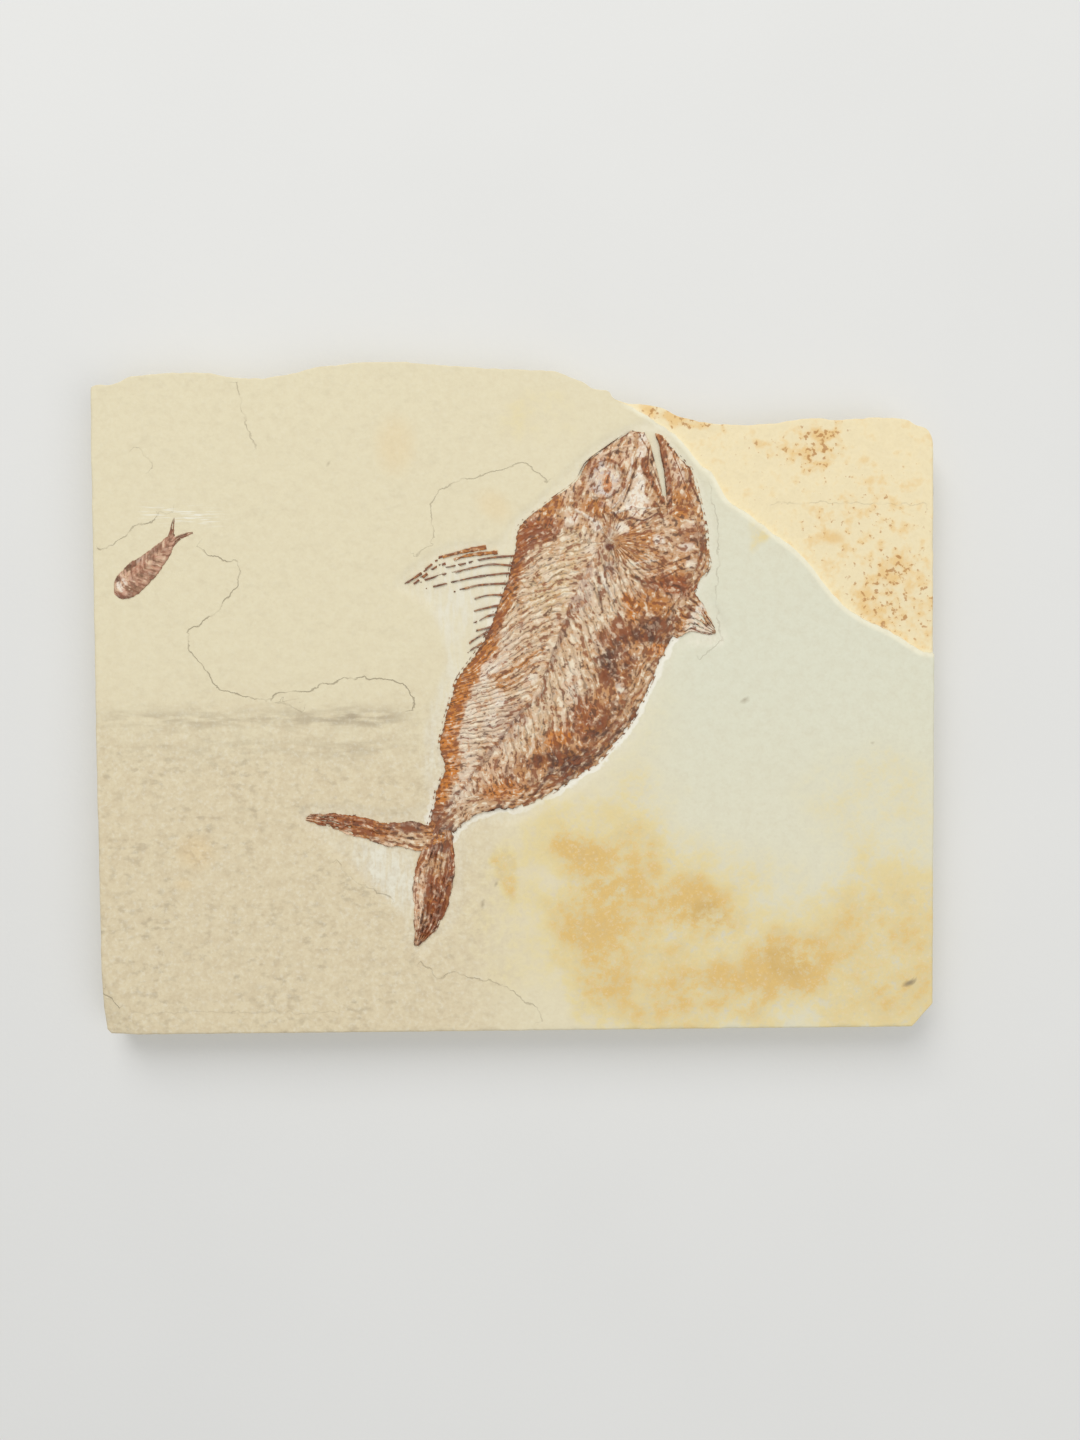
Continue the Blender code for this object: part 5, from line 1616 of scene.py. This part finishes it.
@dataclass
class LimestoneSlab:
    """The stone plate: sawn on three sides, broken along the top, with a lower bed in the upper right."""

    fish_outline: Array
    columns: int = 308
    lower_rows: int = 184  # rows of the face from its bottom to the ledge
    upper_rows: int = 48  # rows from the ledge to the break
    wall_rows: int = 3  # rows on the ledge's wall
    arris: float = 0.45  # how far in the sawn edges are worn
    break_arris: float = 0.2
    back_arris: float = 0.3
    ledge_drop: float = 0.9
    ledge_slope: float = 0.35  # how far the ledge's wall reaches across the face
    chip_drop: float = 2.2  # depth of the chip at its corner
    edge_steps: tuple[float, ...] = (0.0, 0.12, 0.28, 0.5)  # how far in the first rows lie
    # The sides' rings, as shares of the rim's height
    levels: tuple[float, ...] = (0.975, 0.94, 0.86, 0.76, 0.66, 0.56, 0.46, 0.36, 0.26, 0.16, 0.09, 0.03, 0.0)
    stain_depth: float = 0.25  # how deep the stains go, as a share of the thickness
    sawn_left: Path = ((1.6, 0.8), (1.2, 6.0), (0.5, 60.0), (0.0, 129.0), (0.1, 137.3))
    sawn_right: Path = ((178.3, 5.0), (179.5, 80.0), (180.0, 122.0))
    sawn_bottom: Path = ((1.6, 0.8), (2.6, 0.0), (173.9, 0.0), (178.3, 5.0))
    chip: Path = ((-1.0, 19.5), (2.1, 11.8), (4.3, 7.9), (6.9, 4.7), (9.5, -1.0))
    chip_corner: tuple[float, float] = (-1.0, -1.0)
    finish: LimestoneFinish = LimestoneFinish()

    def top_at(self, x: Array) -> Array:
        """The broken edge's height up the face at x, with a fine roughness.

        Args:
            x: places across.

        Returns:
            The heights, held under the highest point that was read.
        """
        fine = smooth_path(BROKEN_TOP, 900)
        order = np.argsort(fine[:, 0])
        line = np.interp(x, fine[order, 0], fine[order, 1])
        rough = 0.14 * Points(x, 0 * x).grain(1.6, 401) * ease(0.0, 3.0, x) * ease(180.0, 177.0, x)
        return line + np.minimum(rough, np.asarray(BROKEN_TOP)[:, 1].max() - 0.05 - line)

    def bottom_at(self, x: Array) -> Array:
        """The sawn lower edge's height up the face at x."""
        return np.interp(x, *np.array(self.sawn_bottom).T)

    def ledge_at(self, x: Array) -> Array:
        """The upper bed's edge at x: the ledge, and to its left a line that draws away from the break.

        Args:
            x: places across.

        Returns:
            The edge's heights up the face.
        """
        path = smooth_path(LEDGE, 160)
        fray = 0.22 * Points(x, 0 * x).grain(1.1, 402) * ease(111.4, 114.0, x)
        line = np.interp(x, path[:, 0], path[:, 1]) + fray
        room = np.clip(0.35 + 0.4 * (LEDGE[0][0] - x), 0.35, 12.0)
        return np.where(x > LEDGE[0][0], np.minimum(line, self.top_at(x) - 0.35), self.top_at(x) - room)

    def spread(self, low: Array, high: Array, count: int) -> Array:
        """Rows from low to high, close together near both ends.

        Args:
            low: start of each column.
            high: end of each column.
            count: rows between the close ones.

        Returns:
            rows by columns of heights.
        """
        close = np.array(self.edge_steps)[:, None]
        fit = np.minimum(1.0, (high - low) / (4.0 * self.edge_steps[-1]))[None, :]
        first = low + close * fit
        last = high - close[::-1] * fit
        between = np.linspace(0.0, 1.0, count + 2)[1:-1, None]
        return np.vstack([first, first[-1] + (last[0] - first[-1]) * between, last])

    def places(self) -> tuple[Array, Array, Array]:
        """The face's grid: x = left + u * (right - left), with rows that follow the ledge.

        Returns:
            x, y and, for each row, how far down the ledge's wall it lies, 0 to 1.
        """
        steps = np.array(self.edge_steps)
        middle = np.linspace(steps[-1], WIDTH - steps[-1], self.columns)[1:-1]
        u = np.concatenate([steps, middle, WIDTH - steps[::-1]]) / WIDTH
        x = WIDTH * u[None, :]
        for _ in range(4):
            low, split, high = self.bottom_at(x[0]), self.ledge_at(x[len(x) // 2]), self.top_at(x[-1])
            lower = self.spread(low, split, self.lower_rows)
            room = np.minimum(self.ledge_slope, 0.3 * (high - split))
            down = np.linspace(0.0, 1.0, self.wall_rows + 2)[1:-1, None]
            wall = split + room * down
            upper = self.spread(split + room, high, self.upper_rows)
            y = np.vstack([lower, wall, upper])
            left = np.interp(y, *np.array(self.sawn_left)[:, ::-1].T)
            right = np.interp(y, *np.array(self.sawn_right)[:, ::-1].T)
            x = left + u * (right - left)
        sunk = np.concatenate([np.zeros(len(lower)), down[:, 0], np.ones(len(upper))])[:, None]
        return x, y, sunk

    def build(self) -> None:
        """Make the stone, dress it and set it in the slab's place."""
        x, y, sunk = self.places()
        face = Points(x, y)
        bed_gap = face.gap_to(smooth_path(SCRAPED, 150)[:-1])
        height = -self.ledge_drop * ease(110.8, 114.5, x) * sunk - BED_DEPTH * ease(0.0, -1.4, bed_gap)
        height = height + 0.03 * face.grain(14.0, 411) + 0.012 * face.grain(2.0, 412)
        rough_bed = ease(0.3, 1.0, sunk) * ease(111.0, 118.0, x)
        height = height + rough_bed * (0.07 * face.grain(5.0, 413) + 0.035 * face.grain(1.4, 414))
        height = np.minimum(height, self.chip_height(face)) - self.edge_gap(face)
        shell = Shell(np.dstack([x, y, THICKNESS + height]))
        fade = tuple(np.exp((level - 1.0) / self.stain_depth) for level in self.levels)
        stone = shell.build("limestone_plate", self.walls(shell), self.fields(face, sunk, bed_gap), fade)
        dress(stone, self.finish.material(), "limestone_slab")

    def edge_gap(self, face: Points) -> Array:
        """How far the face falls to its worn edge: arris * (1 - way in / arris)^2.

        Args:
            face: the face's points.

        Returns:
            The fall in millimetres.
        """
        x, y = face.x, face.y
        sides = np.minimum(x - x[:, :1], x[:, -1:] - x)
        sawn = np.minimum(sides, y - y[:1])
        worn = self.arris * (1.0 + 0.3 * face.grain(2.5, 421))
        broken = y[-1:] - y
        from_sawn = worn * np.clip(1.0 - sawn / worn, 0.0, 1.0) ** 2
        from_broken = self.break_arris * np.clip(1.0 - broken / self.break_arris, 0.0, 1.0) ** 2
        return np.maximum(from_sawn, from_broken)

    def chip_height(self, face: Points) -> Array:
        """The chipped corner: a facet that falls with the way beyond its line, rough as it broke.

        Args:
            face: the face's points.

        Returns:
            The facet's height, above the face where the corner is whole.
        """
        offset = face.against(self.chip).offset
        deepest = abs(float(Points(*np.array(self.chip_corner)[:, None]).against(self.chip).offset[0]))
        rough = 0.12 * face.grain(1.6, 431) * ease(0.2, -1.0, offset)
        return np.where(offset < 0.6, self.chip_drop * offset / deepest + rough + 0.02, 1.0)

    def walls(self, shell: Shell) -> list[Array]:
        """The sides, as the border at falling levels: saw marks on three, a hackly break on the fourth.

        Args:
            shell: the stone's shell.

        Returns:
            The border's points at each level.
        """
        rim = shell.tops.reshape(-1, 3)[shell.border]
        rows, columns = shell.index.shape
        ahead = np.roll(rim, -1, axis=0) - np.roll(rim, 1, axis=0)
        out = np.stack([ahead[:, 1], -ahead[:, 0]], axis=1)
        out /= np.linalg.norm(out, axis=1)[:, None]
        number = np.arange(len(rim))
        start, stop = columns - 1 + rows - 1, 2 * columns + rows - 3
        broken = ease(start - 1.0, start + 8.0, number) * ease(stop + 1.0, stop - 8.0, number)
        way = np.concatenate([[0.0], np.cumsum(np.linalg.norm(np.diff(rim[:, :2], axis=0), axis=1))])
        rings = []
        for share in self.levels:
            level = share * rim[:, 2]
            hackly = 0.55 + 0.5 * Points(way, level * 2.2).grain(3.4, 441)
            hackly = hackly + 0.25 * Points(way, level * 4).grain(1.2, 442)
            saw = 0.02 * np.sin(level * 5.0 + 0.04 * way) + 0.02 * Points(way, level).grain(1.5, 443)
            inward = broken * np.clip(hackly, 0.0, 1.6) * ease(1.0, 0.9, share)
            inward = inward + (1 - broken) * np.clip(saw + 0.02, 0.0, 0.1)
            inward = inward + self.back_arris * ease(0.03, 0.0, share)
            rings.append(np.column_stack([rim[:, :2] - out * inward[:, None], level]))
        return rings

    def fields(self, face: Points, sunk: Array, bed_gap: Array) -> dict[str, Array]:
        """Where each stain, crack, speckle and scuff lies.

        Args:
            face: the face's points.
            sunk: how far down the ledge's wall each row lies.
            bed_gap: distance to the scraped bed's outline, negative inside it.

        Returns:
            A value for each point, by the field's name.
        """
        x, y = face.x, face.y
        cloud = face.grain(9.0, 451, 5)
        bent = Points(x + 3.2 * face.grain(12.0, 452, 4), y + 3.2 * face.grain(12.0, 453, 4))
        ochre = bent.stained(OCHRE_STAINS.values())
        pits = face.stained(PITS)
        lower_bed = np.broadcast_to(ease(0.5, 1.0, sunk), x.shape) * ease(111.0, 113.0, x)
        crack_offset, crack = self.nearest_crack(face)
        ledge = face.against(smooth_path(LEDGE, 120)).distance

        # Round the tail, beside the belly, the right and the lower left of the face
        tail = ease(26.0, 18.0, np.hypot(x - 80.0, y - 30.0))
        belly = ease(88.0, 100.0, x + 0.35 * (y - 60)) * ease(96.0, 86.0, y)
        right = ease(96.0, 132.0, x) * (1 - lower_bed)
        lower = ease(76.0, 60.0, y + 3 * cloud) * ease(98.0, 72.0, x)

        # Two smoky bands and how far across they reach, and scuffs at the small fish's tail
        band = bell(y - 0.5 * cloud, 67.0, 2.0) + 0.5 * bell(y, 60.5, 2.2)
        stretch = ease(-6.0, 12.0, x) * ease(74.0, 58.0, x)
        scuffs = bell(y + 0.1 * (x - 20), 110.6, 1.7) * ease(9.0, 13.0, x) * ease(31.0, 24.0, x)

        values = {
            "lower_left": ease(84.0, 46.0, y + 5 * cloud) * ease(98.0, 72.0, x),
            "green": right * ease(134.0, 112.0, y) * (0.6 + 0.4 * bell(y, 82.0, 34.0)),
            "coarse": 0.2 + 0.38 * lower + 0.3 * ease(0.1, 0.5, ochre),
            "ochre": ochre * (1 - lower_bed),
            "brown_ochre": bent.stained(BROWN_STAINS.values()),
            "smoke": np.clip(band, 0, 1) * stretch * (0.85 + 0.7 * bell(x, 58.0, 10.0)),
            "speckle": 0.8 * ease(76.0, 50.0, y) * ease(92.0, 66.0, x) + 0.2 * ease(96.0, 80.0, x),
            "lower_bed": lower_bed,
            "orange_mark": face.stained(ORANGE_MARKS),
            "pit": pits * ease(0.15, 0.35, pits),
            "rust": bent.stained(RUST_STAINS.values()) * lower_bed - 0.6 * (1 - lower_bed),
            # Painted highlight: a pale band along the ledge, strongest on the upper bed, where light catches
            # the step
            "rim": ease(1.1, 0.3, ledge) * ease(112.0, 116.0, x) * (1 - 0.6 * lower_bed),
            "halo": 0.3 * ease(0.4, -1.6, bed_gap) + face.stained(CHALKY.values()) * ease(1.0, -0.6, bed_gap),
            "fish_gap": face.against(np.vstack([self.fish_outline, self.fish_outline[:1]])).distance,
            "bright": np.clip(belly + 0.7 * tail + 0.12, 0.0, 1.0),
            "crack_offset": crack_offset,
            "crack": crack,
            "scuff": scuffs,
        }
        return {label: np.broadcast_to(value, x.shape) for label, value in values.items()}

    def nearest_crack(self, face: Points) -> tuple[Array, Array]:
        """The offset from the nearest crack's path, and how clearly that crack shows.

        Args:
            face: the face's points.

        Returns:
            The offset, held to 3 mm, and the crack's strength within 1.2 mm of it.
        """
        x = face.x
        best, offset, strength = np.full(x.shape, np.inf), np.full(x.shape, 3.0), np.zeros(x.shape)
        for share, path in CRACKS.values():
            reading = face.against(path)
            within = (reading.share > 0.0) & (reading.share < 1.0)
            distance = np.where(within, reading.distance, np.inf)
            closer = distance < best
            best = np.where(closer, distance, best)
            offset = np.where(closer, reading.offset, offset)
            strength = np.where(closer, share, strength)
        return np.clip(offset, -3.0, 3.0), strength * ease(1.9, 1.2, best)


@dataclass
class Studio:
    """A pale floor, soft lights and the camera over the slab."""

    floor_size: float = 1.6
    floor_colour: Screen = (226, 225, 221)
    floor_cloud: Screen = (216, 215, 211)
    view_centre: tuple[float, float] = (5.2, -5.3)  # millimetres from the slab's middle
    view_roll: float = -0.0104  # radians
    view_length: float = 306.7  # millimetres that the picture's long side covers
    field_of_view: float = 67.0  # degrees along the long side

    def build(self) -> None:
        """Make the floor, the lights and the camera."""
        self.floor()
        self.light("key_light", (-0.25, 0.75, 0.75), 0.7, 6.3)
        self.light("fill_light", (0.6, -0.35, 0.9), 0.9, 3.7)
        world = bpy.data.worlds.new("studio")
        world.use_nodes = True
        background = world.node_tree.nodes["Background"]
        background.inputs["Color"].default_value = (0.95, 0.97, 1.0, 1.0)
        background.inputs["Strength"].default_value = 0.51
        bpy.context.scene.world = world
        bpy.context.scene.view_settings.view_transform = "Standard"
        self.camera()

    def floor(self) -> None:
        """The floor: a square of four points under the slab."""
        half = self.floor_size / 2
        corners = [(-half, -half, 0.0), (half, -half, 0.0), (half, half, 0.0), (-half, half, 0.0)]
        mesh = bpy.data.meshes.new("floor")
        mesh.from_pydata([(x, y, z - 0.02 * MM) for x, y, z in corners], [], [(0, 1, 2, 3)])
        floor = bpy.data.objects.new("floor", mesh)
        bpy.context.scene.collection.objects.link(floor)
        mix = Recipe("floor", self.floor_colour)
        mix.lay(self.floor_cloud, mix.step(mix.noise(60.0), 0.3, 0.7, 0.0, 0.15))
        mix.finish(0.8, mix.bump(mix.noise(1.0, 2.0), 0.02), 0.2)
        mesh.materials.append(mix.material)

    def light(self, name: str, place: tuple[float, float, float], size: float, power: float) -> None:
        """A square soft light that looks at the slab.

        Args:
            name: its name.
            place: where it hangs, in metres.
            size: its side, in metres.
            power: its power, in watts.
        """
        data = bpy.data.lights.new(name, "AREA")
        data.shape = "SQUARE"
        data.size = size
        data.energy = power
        light = bpy.data.objects.new(name, data)
        light.location = place
        light.rotation_euler = (-Vector(place)).to_track_quat("-Z", "Y").to_euler()
        bpy.context.scene.collection.objects.link(light)

    def camera(self) -> None:
        """The camera: straight above the face, far enough to take in view_length."""
        data = bpy.data.cameras.new("camera")
        half = np.radians(self.field_of_view / 2)
        data.sensor_width = 36.0
        data.lens = 18.0 / np.tan(half)
        data.clip_start = 0.01
        distance = self.view_length / 2 / np.tan(half)
        camera = bpy.data.objects.new("camera", data)
        camera.location = (self.view_centre[0] * MM, self.view_centre[1] * MM, (THICKNESS + distance) * MM)
        camera.rotation_euler = (0.0, 0.0, self.view_roll)
        bpy.context.scene.collection.objects.link(camera)
        bpy.context.scene.camera = camera


def main() -> None:
    """Build the stone, its two fishes and the studio, in that order."""
    logging.basicConfig(level=logging.INFO, format="%(message)s")
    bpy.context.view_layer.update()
    fish = LargeFish()
    LimestoneSlab(fish.body.outline()).build()
    fish.build()
    SmallFish().build()
    Studio().build()


if __name__ == "__main__":
    main()
